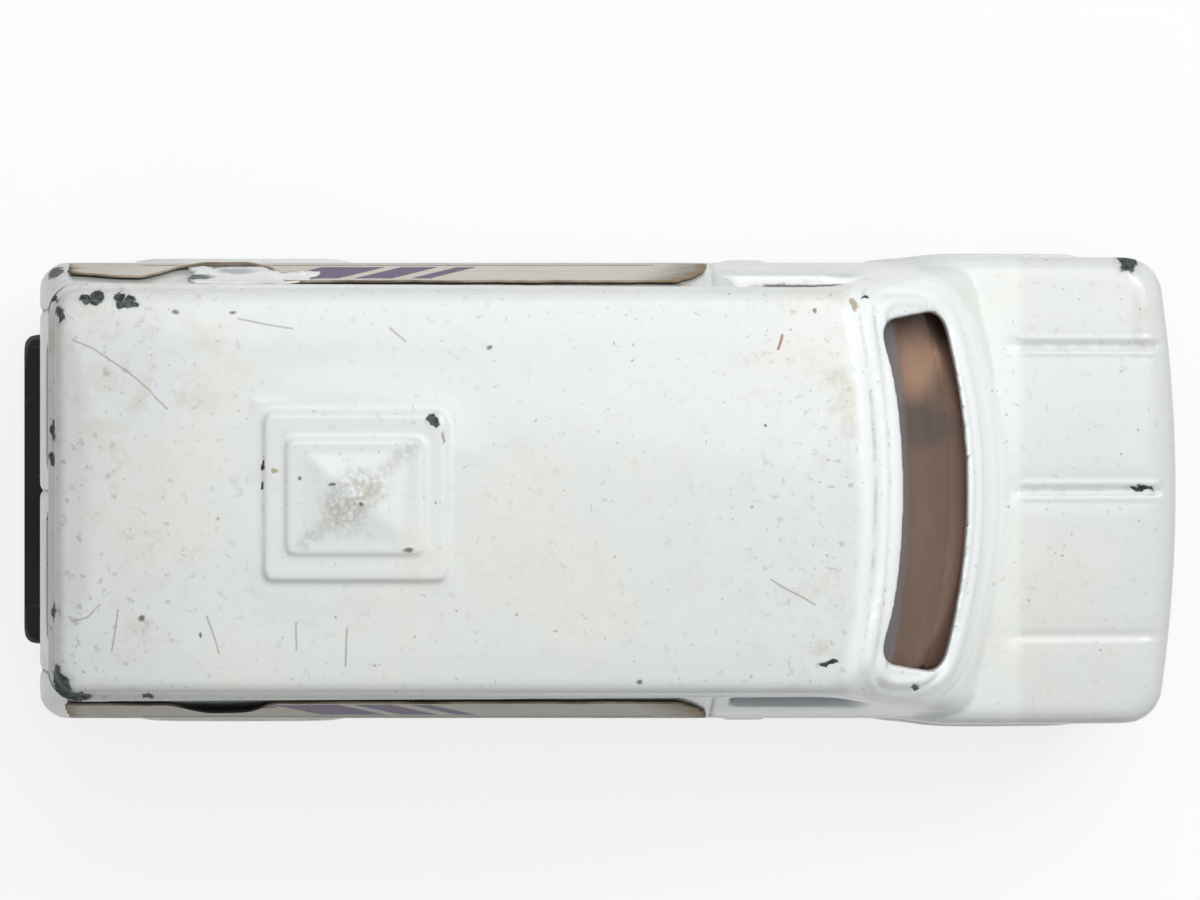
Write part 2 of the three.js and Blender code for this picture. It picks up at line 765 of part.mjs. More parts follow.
function buildBase() {
  const plate = floorPlate(wall + baseFit, baseBottom, baseTop);
  const bumperBack = noseX - noseCorner - bumperDepth + baseFit;
  const bumperRing = (inset, z0, z1) => loft([ring(sillOutline(inset), z0), ring(sillOutline(inset), z1)]);
  const frontBumper = bumperRing(0, baseTop - bumperLap, bumperTop)
    .subtract(bumperRing(bumperDepth, 0, beltHeight))
    .intersect(box(bumperBack, beyond, -beyond, beyond, 0, beltHeight));
  const half = rearBumperWidth / 2;
  const rearOutline = rounded(rectangle(rearEndX, rearX - baseFit / 2, -half, half), bumperCorner);
  const rearBumper = prism(rearOutline, "z", baseBottom, bumperTop);
  const webHalf = half - bumperWebInset;
  const webTop = sillHeight - baseFit / 2;
  const rearWeb = box(rearEndX + bumperCorner, rearX + wall * 2, -webHalf, webHalf, baseBottom, webTop);
  const saddles = atWheels((x, span) => {
    const across = span((saddleSpread - saddleThickness) / 2, (saddleSpread + saddleThickness) / 2);
    const reach = saddleLength / 2;
    return box(x - reach, x + reach, ...across, baseBottom + baseThickness / 3, saddleTop);
  });
  const slotRadius = axleDiameter / 2 + runningClearance;
  const slots = axleXs.flatMap((x) => [
    cylinderY(slotRadius, x, axleZ, -wheelWellY, wheelWellY),
    box(x - slotRadius, x + slotRadius, -wheelWellY, wheelWellY, axleZ, beltHeight),
  ]);
  const rivetHoles = [frontRivetX, rearRivetX].map((x) => {
    return cylinderZ(rivetDiameter / 2 + rivetFit, x, 0, 0, beltHeight, postSegments);
  });
  const moulding = join([plate, frontBumper, rearBumper, rearWeb, ...saddles, underside()]);
  return moulding.subtract(join([...slots, ...rivetHoles]));
}

// Moulded underside: the flat centre pad, frame rails, engine sump, gearbox, shafts, tank and silencer
function underside() {
  const padX = (frontAxleX + rearAxleX) / 2;
  const padFront = padX + padLength / 2;
  const padRear = padX - padLength / 2;
  const relief = (x0, x1, y, width, drop) => {
    return box(x0, x1, y - width / 2, y + width / 2, baseBottom - drop, baseBottom + baseThickness / 2);
  };
  const railRear = rearRivetX - rivetHead;
  const railFront = frontRivetX + rivetHead / 2;
  const sumpRear = frontAxleX - sumpLength / 2;
  const tubeEnd = wheelWellY - baseFit;
  const outrigger = outriggerSpread / 2;
  return join([
    relief(padRear, padFront, 0, padWidth, padDrop),
    relief(railRear, railFront, -railSpread / 2, railWidth, railDrop),
    relief(railRear, railFront, railSpread / 2, railWidth, railDrop),
    relief(sumpRear, sumpRear + sumpLength, 0, sumpWidth, sumpDrop),
    relief(sumpRear - gearboxLength, sumpRear, 0, gearboxWidth, padDrop),
    relief(padX - tankLength / 2, padX + tankLength / 2, -outrigger, tankWidth, padDrop),
    cylinderX(shaftDiameter / 2, 0, baseBottom, padFront, sumpRear - gearboxLength / 2, tubeSegments),
    cylinderX(shaftDiameter / 2, 0, baseBottom, rearAxleX, padRear, tubeSegments),
    cylinderY(
      differentialDiameter / 2,
      rearAxleX,
      baseTop - baseFit,
      -differentialWidth / 2,
      differentialWidth / 2,
      postSegments,
    ),
    ...axleXs.map((x) => {
      return cylinderY(axleTubeDiameter / 2, x, baseBottom + axleTubeRise, -tubeEnd, tubeEnd, tubeSegments);
    }),
    cylinderX(
      silencerDiameter / 2,
      outrigger,
      baseBottom + silencerRise,
      padX - silencerLength / 2,
      padX + silencerLength / 2,
      tubeSegments,
    ),
    cylinderX(
      pipeDiameter / 2,
      outrigger,
      baseBottom,
      padX - pipeLength / 2,
      padX + pipeLength / 2,
      tubeSegments,
    ),
  ]);
}

// A bar across the saddles that keeps its axle in the slots
function buildKeeper(axleX) {
  const half = (saddleSpread + saddleThickness) / 2;
  const inner = (saddleSpread - saddleThickness) / 2 - stackGap * 2;
  const reach = saddleLength / 2;
  const bar = box(axleX - reach, axleX + reach, -half, half, keeperBottom, keeperBottom + keeperThickness);
  const step = reach - keeperStep;
  const tongue = box(axleX - step, axleX + step, -inner, inner, saddleTop, keeperBottom + stackGap);
  const bowl = cylinderY(axleDiameter / 2 + runningClearance, axleX, axleZ, -beyond, beyond);
  return bar.add(tongue).subtract(bowl);
}

// Solid of revolution about the y axis; the profile is (radius, y) and closes on itself
function turned(profile) {
  const outline = points([...profile, profile[0]]);
  return solid(new THREE.LatheGeometry(outline, roundSegments, Math.PI / roundSegments));
}

function buildAxle(axleX) {
  const radius = axleDiameter / 2;
  const headRadius = axleHead / 2;
  const headInner = tyreOuterY + endPlay;
  const headOuter = headInner + axleHeadLength;
  const outline = points([
    [0, -headOuter],
    [headRadius - axleHeadBevel, -headOuter],
    [headRadius, axleHeadBevel - headOuter],
    [headRadius, -headInner],
    [radius, -headInner],
    [radius, headInner],
    [headRadius, headInner],
    [headRadius, headOuter - axleHeadBevel],
    [headRadius - axleHeadBevel, headOuter],
    [0, headOuter],
  ]);
  return solid(new THREE.LatheGeometry(outline, postSegments).translate(axleX, 0, axleZ));
}

const rimRadius = wheelRadius - tyreWall;

// Wheel hub: a barrel under the tyre, a dished and pierced face, and a boss that runs on the axle
function buildRim() {
  const bore = (axleDiameter / 2 + runningClearance) / Math.cos(Math.PI / roundSegments);
  const boss = rimBoss / 2;
  const lip = rimRadius - rimBarrel;
  const half = tyreWidth / 2;
  const back = rimSetback - half;
  const faceFront = half - rimDish;
  const faceBack = faceFront - rimFace;
  const hub = turned([
    [bore, back],
    [boss, back],
    [boss, faceBack],
    [lip, faceBack],
    [lip, back],
    [rimRadius, back],
    [rimRadius, half - rimChamfer],
    [lip, half - rimChamfer],
    [lip - rimChamfer, faceFront - rimChamfer],
    [boss + rimChamfer, faceFront],
    [boss, half],
    [bore, half],
  ]);
  const reach = (boss + lip) / 2;
  const holes = Array.from({ length: rimHoles }, (_, i) => {
    const angle = (2 * Math.PI * i) / rimHoles;
    const [x, z] = [reach * Math.cos(angle), reach * Math.sin(angle)];
    return cylinderY(rimHole / 2, x, z, -half, half, tubeSegments);
  });
  return hub.subtract(join(holes));
}

// Tyre: a ring with rounded shoulders, whose flats touch the ground
function buildTyre() {
  const bore = rimRadius + runningClearance;
  const tread = wheelRadius / Math.cos(Math.PI / roundSegments);
  const half = tyreWidth / 2;
  const side = [
    [bore, half - tyreBevel],
    [bore + tyreBead, half],
    [tread - tyreShoulder, half],
    [tread - tyreShoulder / 5, half - tyreShoulder / 2],
    [tread, half - tyreShoulder],
  ];
  return turned([...side.map(([radius, y]) => [radius, -y]), ...side.reverse()]);
}

// Outline of the dash at a height, behind the glazing
function dashOutline(z) {
  return planOutline({
    rear: dashRear,
    front: screenX(z) - dashInset * screenSlant,
    half: cabinHalf(z) - dashInset,
    rearRadius: dashCorner,
    frontRadius: dashCorner,
    bow: screenBowAt(z),
    turns: tightSteps,
  });
}

// Place of the steering wheel: its ring's centre, and how far its column reaches into the dash
const dashRear = screenX(dashHeight) - dashInset * screenSlant - dashDepth;
const columnLength = steeringDiameter * 0.9;
const steeringCentre = new THREE.Vector3(
  dashRear - steeringDiameter * 0.35,
  seatSpread / 2,
  dashHeight - steeringDrop,
);

// Turns a piece drawn about the y axis to the column's tilt and brings it to its place
function alongColumn(geometry) {
  geometry.rotateZ(Math.PI / 2 - columnTilt);
  return solid(geometry.translate(...steeringCentre.toArray()));
}

// A rod from the wheel's centre forward and down into the dash
function steeringColumn(radius, length) {
  const rod = new THREE.CylinderGeometry(radius, radius, length, tubeSegments);
  return alongColumn(rod.translate(0, -length / 2, 0));
}

function buildSteeringWheel() {
  const reach = (steeringDiameter - steeringRing) / 2;
  const hoop = new THREE.TorusGeometry(reach, steeringRing / 2, 6, roundSegments).rotateX(Math.PI / 2);
  const boss = new THREE.CylinderGeometry(steeringRing, steeringRing, steeringRing, tubeSegments);
  const spokes = [0, 1, 2].map((i) => {
    const spoke = new THREE.BoxGeometry(reach, steeringRing * 0.6, steeringRing);
    return spoke.translate(reach / 2, 0, 0).rotateY(Math.PI / 2 + (i * 2 * Math.PI) / 3);
  });
  const pieces = [hoop, boss, ...spokes].map(alongColumn);
  return join([...pieces, steeringColumn(steeringRing / 2, columnLength)]);
}

// Boxes over the wheels that close the arches from inside
function wheelBoxes() {
  const sideStop = lowerWidth / 2 - sillTuck - wall - interiorFit;
  const underFloor = box(-beyond, beyond, -beyond, beyond, -beyond, floorBottom);
  return atWheels((x, span) => {
    const across = span(wheelWellY - wheelBoxWall, sideStop);
    const outside = cylinderY(archRadius + wheelBoxWall, x, axleZ, ...across);
    const room = cylinderY(archRadius, x, axleZ, ...span(wheelWellY, beyond));
    return outside.subtract(room).subtract(underFloor);
  });
}

// Seat seen from the side: a cushion and a leaning back
function seatOutline() {
  const x = doorRear + seatSetback;
  const seatTop = beltHeight + seatRise;
  const corners = points([
    [x, floorBottom],
    [x + seatLength * 0.9, floorBottom],
    [x + seatLength, floorTop + cushionHeight],
    [x + seatBackThickness * 1.4, floorTop + cushionHeight * 0.9],
    [x + seatBackThickness - seatBackLean, seatTop],
    [x - seatBackLean, seatTop],
  ]);
  return rounded(corners, seatRound, 2);
}

// Floor, two seats, engine cover, wheel boxes and dash as one moulding
function buildInterior() {
  const rearStop = rearRivetX + rivetShoulder / 2 + interiorFit;
  const frontStop = frontRivetX - rivetShoulder / 2 - interiorFit;
  const floorEnds = box(rearStop, frontStop, -beyond, beyond, 0, roofHeight);
  const floor = floorPlate(wall + interiorFit, floorBottom, floorTop).intersect(floorEnds);
  const dashFoot = axleZ + archRadius + interiorFit;
  const dash = loft([ring(dashOutline(dashFoot), dashFoot), ring(dashOutline(dashHeight), dashHeight)]);
  const bulkheadX = dashRear + dashDepth / 2;
  const bulkheadEnd = bulkheadX + bulkheadThickness;
  const bulkheadHalf = wheelWellY - wheelBoxWall / 2;
  const bulkheadTop = (dashFoot + dashHeight) / 2;
  const bulkhead = box(bulkheadX, bulkheadEnd, -bulkheadHalf, bulkheadHalf, floorBottom, bulkheadTop);
  const seats = [-1, 1].map((side) => {
    const y = (side * seatSpread) / 2;
    return prism(seatOutline(), "y", y - seatWidth / 2, y + seatWidth / 2);
  });
  const coverHalf = coverWidth / 2;
  const coverTop = floorTop + coverHeight;
  const cover = box(doorRear + seatSetback, bulkheadEnd, -coverHalf, coverHalf, floorBottom, coverTop);
  const socket = steeringColumn(steeringRing / 2 + interiorFit / 2, columnLength + interiorFit);
  return join([floor, dash, bulkhead, cover, ...seats, ...wheelBoxes()]).subtract(socket);
}

// A paper panel lying on the sloping upper side, between the belt and the gutter
function buildLabel(side) {
  const low = beltHeight + labelRise;
  const high = gutterHeight - labelDrop;
  const outer = labelGap + labelThickness;
  const outline = points([
    [side * (cabinHalf(low) + labelGap), low],
    [side * (cabinHalf(low) + outer), low],
    [side * (cabinHalf(high) + outer), high],
    [side * (cabinHalf(high) + labelGap), high],
  ]);
  const ordered = side > 0 ? outline : outline.reverse();
  return prism(ordered, "x", rearX + labelSetback, doorRear - lineWidth);
}

// Plated insert: a flange behind the nose, slats and two round headlamps in the opening
function buildGrille() {
  const seat = noseX - noseRake - wall - noseBow - grilleFit;
  const root = seat - grilleFlange / 2;
  const face = noseX - grilleRecess - noseBow;
  const half = grilleWidth / 2 - grilleFit;
  const low = grilleSill + grilleFit;
  const high = grilleHead - grilleFit;
  const flangeHalf = half + grilleLap;
  const flange = box(seat - grilleFlange, seat, -flangeHalf, flangeHalf, low - grilleLap, high + grilleLap);
  const panel = box(root, face - grillePanelDepth, -half, half, low, high);
  const windowHalf = half - grilleRim;
  const windowLow = low + grilleRim;
  const windowHigh = high - grilleRim;
  const window = box(0, beyond, -windowHalf, windowHalf, windowLow, windowHigh);
  const surround = box(root, face, -half, half, low, high).subtract(window);
  const lampY = half - headlampDiameter / 2 - headlampInset;
  const lampZ = (low + high) / 2;
  const barHalf = lampY - headlampDiameter / 2 - grilleRim;
  const pitch = (windowHigh - windowLow) / grilleBars;
  const bars = Array.from({ length: grilleBars }, (_, i) => {
    const z = windowLow + pitch * (i + 0.5);
    return box(root, face - grilleBarRecess, -barHalf, barHalf, z - pitch / 4, z + pitch / 4);
  });
  const lamps = [-lampY, lampY].map((y) => cylinderX(headlampDiameter / 2, y, lampZ, root, face));
  return join([flange, panel, surround, ...bars, ...lamps]);
}

// Finishes
const paint = { color: 0xdfe2e3, roughness: 0.3, metalness: 0.1 };
const smokedClear = { color: 0x6b4a3c, roughness: 0.1, metalness: 0, transparent: true, opacity: 0.45 };
const brownPlastic = { color: 0x6d4a3a, roughness: 0.6, metalness: 0 };
const blackPlastic = { color: 0x2c2d30, roughness: 0.6, metalness: 0 };
const plating = { color: 0xc9cccf, roughness: 0.2, metalness: 0.9 };
const steel = { color: 0xa8abae, roughness: 0.35, metalness: 1 };
const rubber = { color: 0x1d1d1f, roughness: 0.8, metalness: 0 };
const paper = { color: 0xd9d2bd, roughness: 0.8, metalness: 0 };

const van = new THREE.Group();
van.name = "model_van";

function place(name, shape, finish, position = [0, 0, 0], turn = 0) {
  const data = shape.getMesh();
  const geometry = new THREE.BufferGeometry();
  geometry.setAttribute("position", new THREE.BufferAttribute(data.vertProperties, 3));
  geometry.setIndex(new THREE.BufferAttribute(data.triVerts, 1));
  geometry.computeVertexNormals();
  const mesh = new THREE.Mesh(geometry, new THREE.MeshStandardMaterial(finish));
  mesh.name = name;
  mesh.position.set(...position);
  mesh.rotation.z = turn;
  van.add(mesh);
}

place("body_shell", buildBody(), paint);
place("glazing", buildGlazing(), smokedClear);
place("interior", buildInterior(), brownPlastic);
place("steering_wheel", buildSteeringWheel(), blackPlastic);
place("base_plate", buildBase(), blackPlastic);
place("grille", buildGrille(), plating);
place("left_label", buildLabel(1), paper);
place("right_label", buildLabel(-1), paper);

const rim = buildRim();
const tyre = buildTyre();
const wheelY = (tyreOuterY + tyreInnerY) / 2;
for (const [end, axleX] of [["front", frontAxleX], ["rear", rearAxleX]]) {
  place(`${end}_axle`, buildAxle(axleX), steel);
  place(`${end}_axle_keeper`, buildKeeper(axleX), blackPlastic);
  for (const [hand, side] of [["left", 1], ["right", -1]]) {
    const turn = side > 0 ? 0 : Math.PI;
    place(`${end}_${hand}_rim`, rim, plating, [axleX, side * wheelY, axleZ], turn);
    place(`${end}_${hand}_tyre`, tyre, rubber, [axleX, side * wheelY, axleZ], turn);
  }
}

export default van;
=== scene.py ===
import math
from functools import reduce

import bmesh
import bpy
import numpy as np
from mathutils import Matrix, Vector, noise


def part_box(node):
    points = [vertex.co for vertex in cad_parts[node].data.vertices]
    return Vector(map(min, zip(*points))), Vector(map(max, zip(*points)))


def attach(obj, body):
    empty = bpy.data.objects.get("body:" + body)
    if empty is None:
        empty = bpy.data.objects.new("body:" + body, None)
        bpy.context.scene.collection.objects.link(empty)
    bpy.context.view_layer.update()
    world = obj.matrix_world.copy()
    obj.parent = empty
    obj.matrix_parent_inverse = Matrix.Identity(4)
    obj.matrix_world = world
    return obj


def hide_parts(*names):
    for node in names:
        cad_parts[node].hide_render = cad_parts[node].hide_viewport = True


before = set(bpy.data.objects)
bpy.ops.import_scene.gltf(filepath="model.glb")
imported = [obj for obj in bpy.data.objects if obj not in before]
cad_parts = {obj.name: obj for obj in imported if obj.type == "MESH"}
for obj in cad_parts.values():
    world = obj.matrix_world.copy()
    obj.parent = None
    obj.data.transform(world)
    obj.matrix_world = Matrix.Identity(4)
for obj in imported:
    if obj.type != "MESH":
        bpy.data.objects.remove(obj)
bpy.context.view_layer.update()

# Sizes below are in millimetres; meshes are in metres.
MM = 0.001

# The leaning sides above the belt, and the labels on them
BELT_HEIGHT = 16.0
BELT_HALF_WIDTH = 14.15
SIDE_LEAN = 0.186
LABEL_GAP = 0.05
LABEL_THICKNESS = 0.12
LABEL_BOTTOM = 16.6
LABEL_ENDS = (-32.5, 7.2)
FLAP_ENDS = (-24.6, -16.6)


def sums(operation, swapped=False):
    """An operator between values, which adds one Math node."""

    def combine(value, other):
        terms = (other, value) if swapped else (value, other)
        return value.nodes.maths(operation, *terms)

    return combine


class Value:
    """A number that changes over a surface or along a pattern."""

    def __init__(self, nodes, socket):
        self.nodes = nodes
        self.socket = socket

    __add__ = __radd__ = sums("ADD")
    __sub__ = sums("SUBTRACT")
    __rsub__ = sums("SUBTRACT", swapped=True)
    __mul__ = __rmul__ = sums("MULTIPLY")
    __truediv__ = sums("DIVIDE")
    __lt__ = sums("LESS_THAN")
    __gt__ = sums("GREATER_THAN")
    __or__ = sums("MAXIMUM")
    __and__ = sums("MINIMUM")


class Nodes:
    """A node tree and the calls that add nodes to it."""

    def __init__(self, tree):
        self.tree = tree

    def fill(self, made, sockets):
        for name, value in sockets.items():
            if isinstance(value, Value):
                self.tree.links.new(value.socket, made.inputs[name])
            else:
                made.inputs[name].default_value = value

    def node(self, kind, sockets=None, out=0, **settings):
        """Adds one node with these settings, and values or links for its sockets."""
        made = self.tree.nodes.new(kind)
        for name, setting in settings.items():
            setattr(made, name, setting)
        self.fill(made, sockets or {})
        return Value(self, made.outputs[out])

    def maths(self, operation, *terms):
        return self.node("ShaderNodeMath", dict(enumerate(terms)), operation=operation)

    def vector(self, operation, *terms, out="Vector"):
        return self.node("ShaderNodeVectorMath", dict(enumerate(terms)), out, operation=operation)

    def scaled(self, vector, factor):
        return self.node("ShaderNodeVectorMath", {0: vector, "Scale": factor}, operation="SCALE")

    def part(self, vector, axis):
        return self.node("ShaderNodeSeparateXYZ", {0: vector}, axis)

    def together(self, x, y, z):
        return self.node("ShaderNodeCombineXYZ", {0: x, 1: y, 2: z})


class Finish(Nodes):
    """A procedural material. Its place is the Object coordinate in millimetres."""

    def __init__(self, name, constants):
        self.material = bpy.data.materials.new(name)
        self.material.use_nodes = True
        super().__init__(self.material.node_tree)
        self.surface = self.tree.nodes["Principled BSDF"]
        self.fill(self.surface, constants)
        self.place = self.scaled(self.node("ShaderNodeTexCoord", out="Object"), 1000)

    def axes(self):
        """The place's run to the nose, its distance to the left, and its height."""
        return [self.part(self.place, axis) for axis in "XYZ"]

    def noise(self, scale, detail, seed, place=None, out="Fac"):
        sockets = {"Vector": place or self.place, "W": seed, "Scale": scale, "Detail": detail}
        return self.node("ShaderNodeTexNoise", sockets, out, noise_dimensions="4D")

    def ease(self, value, low, high):
        """0 at low, 1 at high and eased between; low may be the greater."""
        sockets = {"Value": value, "From Min": low, "From Max": high}
        return self.node("ShaderNodeMapRange", sockets, interpolation_type="SMOOTHSTEP")

    def span(self, value, rise, fall):
        """1 between two eased edges, each given by where it is 0 and where it is 1."""
        return self.ease(value, *rise) * self.ease(value, *fall)

    def about(self, value, middle, outer, inner):
        """1 where a value is within inner of a middle, eased to 0 at outer from it."""
        return self.ease(self.maths("ABSOLUTE", value - middle), outer, inner)

    def mix(self, factor, first, second):
        return self.node("ShaderNodeMix", {0: factor, 6: first, 7: second}, 2, data_type="RGBA")

    def attribute(self, name):
        return self.node("ShaderNodeAttribute", out="Fac", attribute_name=name)

    def ragged(self, reach, scale, seed):
        """The place, pushed about so that a patch drawn on it gets a broken edge."""
        push = self.vector("SUBTRACT", self.noise(scale, 3, seed, out="Color"), (0.5, 0.5, 0.5))
        return self.vector("ADD", self.place, self.scaled(push, reach))

    def streaked(self, place, angle, stretch):
        """The place turned in plan and drawn out, so that dots on it become strokes."""
        sockets = {"Vector": place, "Rotation": (0, 0, angle), "Scale": stretch}
        return self.node("ShaderNodeMapping", sockets, vector_type="TEXTURE")

    def reach(self, place, centre, radii):
        """How far a place is from a centre: 1 on the ellipsoid of these radii."""
        shares = [1 / radius for radius in radii]
        offset = [-c / radius for c, radius in zip(centre, radii)]
        return self.vector("LENGTH", self.vector("MULTIPLY_ADD", place, shares, offset), out="Value")

    def nearest(self, place, patches):
        return reduce(Value.__and__, [self.reach(place, centre, radii) for centre, radii in patches])

    def patch(self, place, patches, outer, inner):
        """1 in any of the patches, eased from the outer share of its size to the inner one."""
        return self.ease(self.nearest(place, patches), outer, inner)

    def from_line(self, flat, start, end):
        """Distance in plan from a straight line between two points."""
        run = Vector((*end, 0)) - Vector((*start, 0))
        offset = self.vector("SUBTRACT", flat, (*start, 0))
        along = self.vector("DOT_PRODUCT", offset, run / run.length_squared, out="Value")
        held = self.node("ShaderNodeClamp", {"Value": along})
        return self.vector("LENGTH", self.vector("SUBTRACT", offset, self.scaled(run, held)), out="Value")

    def specks(self, place, cells, chance, size):
        """Small dots: cells per millimetre, the share of cells that hold one, and its radius in cells."""
        made = self.node("ShaderNodeTexVoronoi", {"Vector": place, "Scale": cells})
        lot = self.part(Value(self, made.socket.node.outputs["Color"]), "X")
        return self.ease(made, size, size * 0.4) * (lot < chance)

    def bump(self, height, strength, distance):
        sockets = {"Height": height, "Strength": strength, "Distance": distance * MM}
        return self.node("ShaderNodeBump", sockets)

    def dress(self, **sockets):
        self.fill(self.surface, {name.replace("_", " "): value for name, value in sockets.items()})
        return self.material


# Bare patches where the enamel is knocked off: centre, then half sizes
CHIPS = [
    ((-29.9, 11.55, 27.2), (0.75, 0.3, 2.0)),
    ((-29.5, 11.75, 27.2), (0.35, 0.35, 2.0)),
    ((-28.15, 11.65, 27.2), (0.3, 0.5, 2.0)),
    ((-27.75, 11.25, 27.2), (0.65, 0.28, 2.0)),
    ((-27.5, 11.55, 27.2), (0.3, 0.2, 2.0)),
    ((-31.75, 10.5, 26.6), (0.25, 0.6, 2.0)),
    ((-33.3, 13.6, 19.0), (0.55, 0.5, 5.0)),
    ((-33.5, 12.6, 23.5), (0.6, 0.32, 3.0)),
    ((-32.6, 11.75, 26.0), (0.5, 0.3, 2.0)),
    ((-32.25, 3.7, 26.5), (0.24, 0.62, 1.6)),
    ((-32.4, 2.0, 26.0), (0.2, 0.4, 1.6)),
    ((-32.2, -7.1, 26.5), (0.24, 0.5, 1.6)),
    ((-31.6, -11.7, 26.5), (0.55, 0.8, 3.0)),
    ((-32.0, -11.2, 26.5), (0.4, 0.9, 2.5)),
    ((-30.9, -12.25, 26.5), (0.9, 0.3, 2.0)),
    ((-26.6, -12.2, 26.6), (0.34, 0.16, 1.5)),
    ((-9.3, 4.3, 29.0), (0.26, 0.28, 1.0)),
    ((-19.5, 1.7, 28.7), (0.11, 0.36, 1.0)),
    ((-19.5, 0.5, 28.7), (0.1, 0.18, 1.0)),
    ((14.3, -10.2, 27.8), (0.42, 0.2, 2.0)),
    ((33.6, 14.2, 14.6), (0.8, 0.7, 2.2)),
    ((34.4, 0.1, 15.6), (0.85, 0.22, 2.0)),
    ((19.9, -11.9, 22.0), (0.2, 0.18, 2.0)),
    ((16.5, 11.75, 26.4), (0.18, 0.16, 1.5)),
]

# Single dark flecks in the enamel, in the same way
FLECKS = [
    ((-15.3, 0.5, 29.6), (0.24, 0.12, 1.0)),
    ((-13.6, -0.7, 29.6), (0.15, 0.15, 1.0)),
    ((-17.3, 0.85, 29.3), (0.14, 0.14, 1.0)),
    ((-10.8, -3.4, 29.0), (0.35, 0.16, 1.0)),
    ((3.0, -11.35, 27.4), (0.2, 0.17, 1.5)),
    ((-6.0, 8.65, 28.4), (0.17, 0.17, 1.0)),
    ((-26.8, -7.5, 28.0), (0.24, 0.2, 1.0)),
    ((-23.3, -8.5, 28.0), (0.1, 0.2, 1.0)),
    ((13.5, 10.9, 27.6), (0.14, 0.18, 1.5)),
    ((-21.4, 10.75, 27.8), (0.22, 0.12, 1.5)),
    ((-24.8, 10.8, 27.6), (0.26, 0.14, 1.5)),
    ((10.5, 4.0, 28.2), (0.12, 0.12, 1.5)),
]

# Hairline scratches in the roof, seen in plan
SCRATCHES = [
    ((-31.0, 9.1), (-29.6, 8.5)),
    ((-29.6, 8.5), (-27.9, 7.4)),
    ((-27.9, 7.4), (-26.4, 6.2)),
    ((-26.4, 6.2), (-25.3, 5.0)),
    ((-21.0, 10.35), (-17.8, 9.8)),
    ((10.8, -5.2), (13.5, -6.7)),
    ((-31.0, -7.7), (-30.0, -7.4)),
    ((-30.0, -7.4), (-29.3, -6.7)),
    ((-28.6, -9.5), (-28.2, -7.0)),
    ((-22.2, -9.6), (-22.9, -7.4)),
    ((-17.5, -9.4), (-17.5, -7.8)),
    ((-14.7, -10.3), (-14.6, -8.2)),
    ((-12.0, 9.9), (-11.0, 9.0)),
]

# Wide areas of the roof that handling stained
HANDLED_AREAS = [
    ((-30, 7.5, 27), (11, 6, 4)),
    ((-31, -8, 27), (7, 5, 4)),
    ((14, -8.5, 27), (6, 4, 4)),
    ((15, 5, 27), (2.5, 7, 4)),
]

# Grime on the roof vent: its blots, and the ends of the smear through them
VENT_BLOTS = [
    ((-14.6, -0.9, 29.5), (1.4, 1.7, 1.2)),
    ((-13.6, 0.3, 29.5), (1.6, 1.2, 1.2)),
]
VENT_SMEAR = ((-17.0, -3.1), (-10.4, 2.9))

# Coloured stains in the enamel, and the ends of one red stroke
RUST_SPOTS = [((-18.8, 1.3, 28.8), (0.3, 0.2, 1))]
OCHRE_STAINS = [
    ((15.8, 11.3, 27.0), (0.3, 0.5, 1.5)),
    ((-8.85, 3.2, 28.8), (0.12, 0.5, 1.0)),
    ((5.9, 12.7, 24.4), (0.7, 0.6, 0.5)),
]
NOSE_STAINS = [((34.2, 10.5, 15.0), (0.6, 2.6, 3))]
RED_STROKE = ((11.25, 8.6), (11.5, 9.4))

# Lines pressed in the hood: how far left of the middle, and their depth
HOOD_LINES = [(9.05, 0.13), (0.0, 0.12), (-9.05, 0.04)]

# The windscreen's outline in plan: bowed towards the nose, narrower at its ends, with round corners
SCREEN_MIDDLE = 20.93
SCREEN_HALF_DEPTH = 1.1
SCREEN_HALF_WIDTH = 10.3
SCREEN_CORNER = 0.9
SCREEN_BOW = 1.5
SCREEN_NARROWING = 0.5
BOW_SPAN = 11


def outside_windscreen(run, across, largest, size):
    """Distance in plan outside the windscreen, below zero in it, and how far ahead of its middle."""
    bow = across * across / BOW_SPAN**2
    ahead = run - SCREEN_MIDDLE + bow * SCREEN_BOW
    beyond = largest(ahead, ahead * -1) - SCREEN_HALF_DEPTH + bow * SCREEN_NARROWING
    past_end = largest(across, across * -1) - SCREEN_HALF_WIDTH
    depth = largest(largest(beyond, past_end) * -1, 0)
    return size(largest(beyond, 0), largest(past_end, 0)) - depth - SCREEN_CORNER, ahead


def screen_gap(finish, run, across):
    """The same distances as values of a finish."""
    return outside_windscreen(run, across, Value.__or__, lambda a, b: finish.maths("SQRT", a * a + b * b))


def over_hood(ease, run, height):
    """1 over the hood's top and 0 round it, by a finish's or an array's way to ease a number."""
    return ease(run, 26.4, 27.2) * ease(run, 36.0, 35.2) * ease(height, 13.0, 13.6)


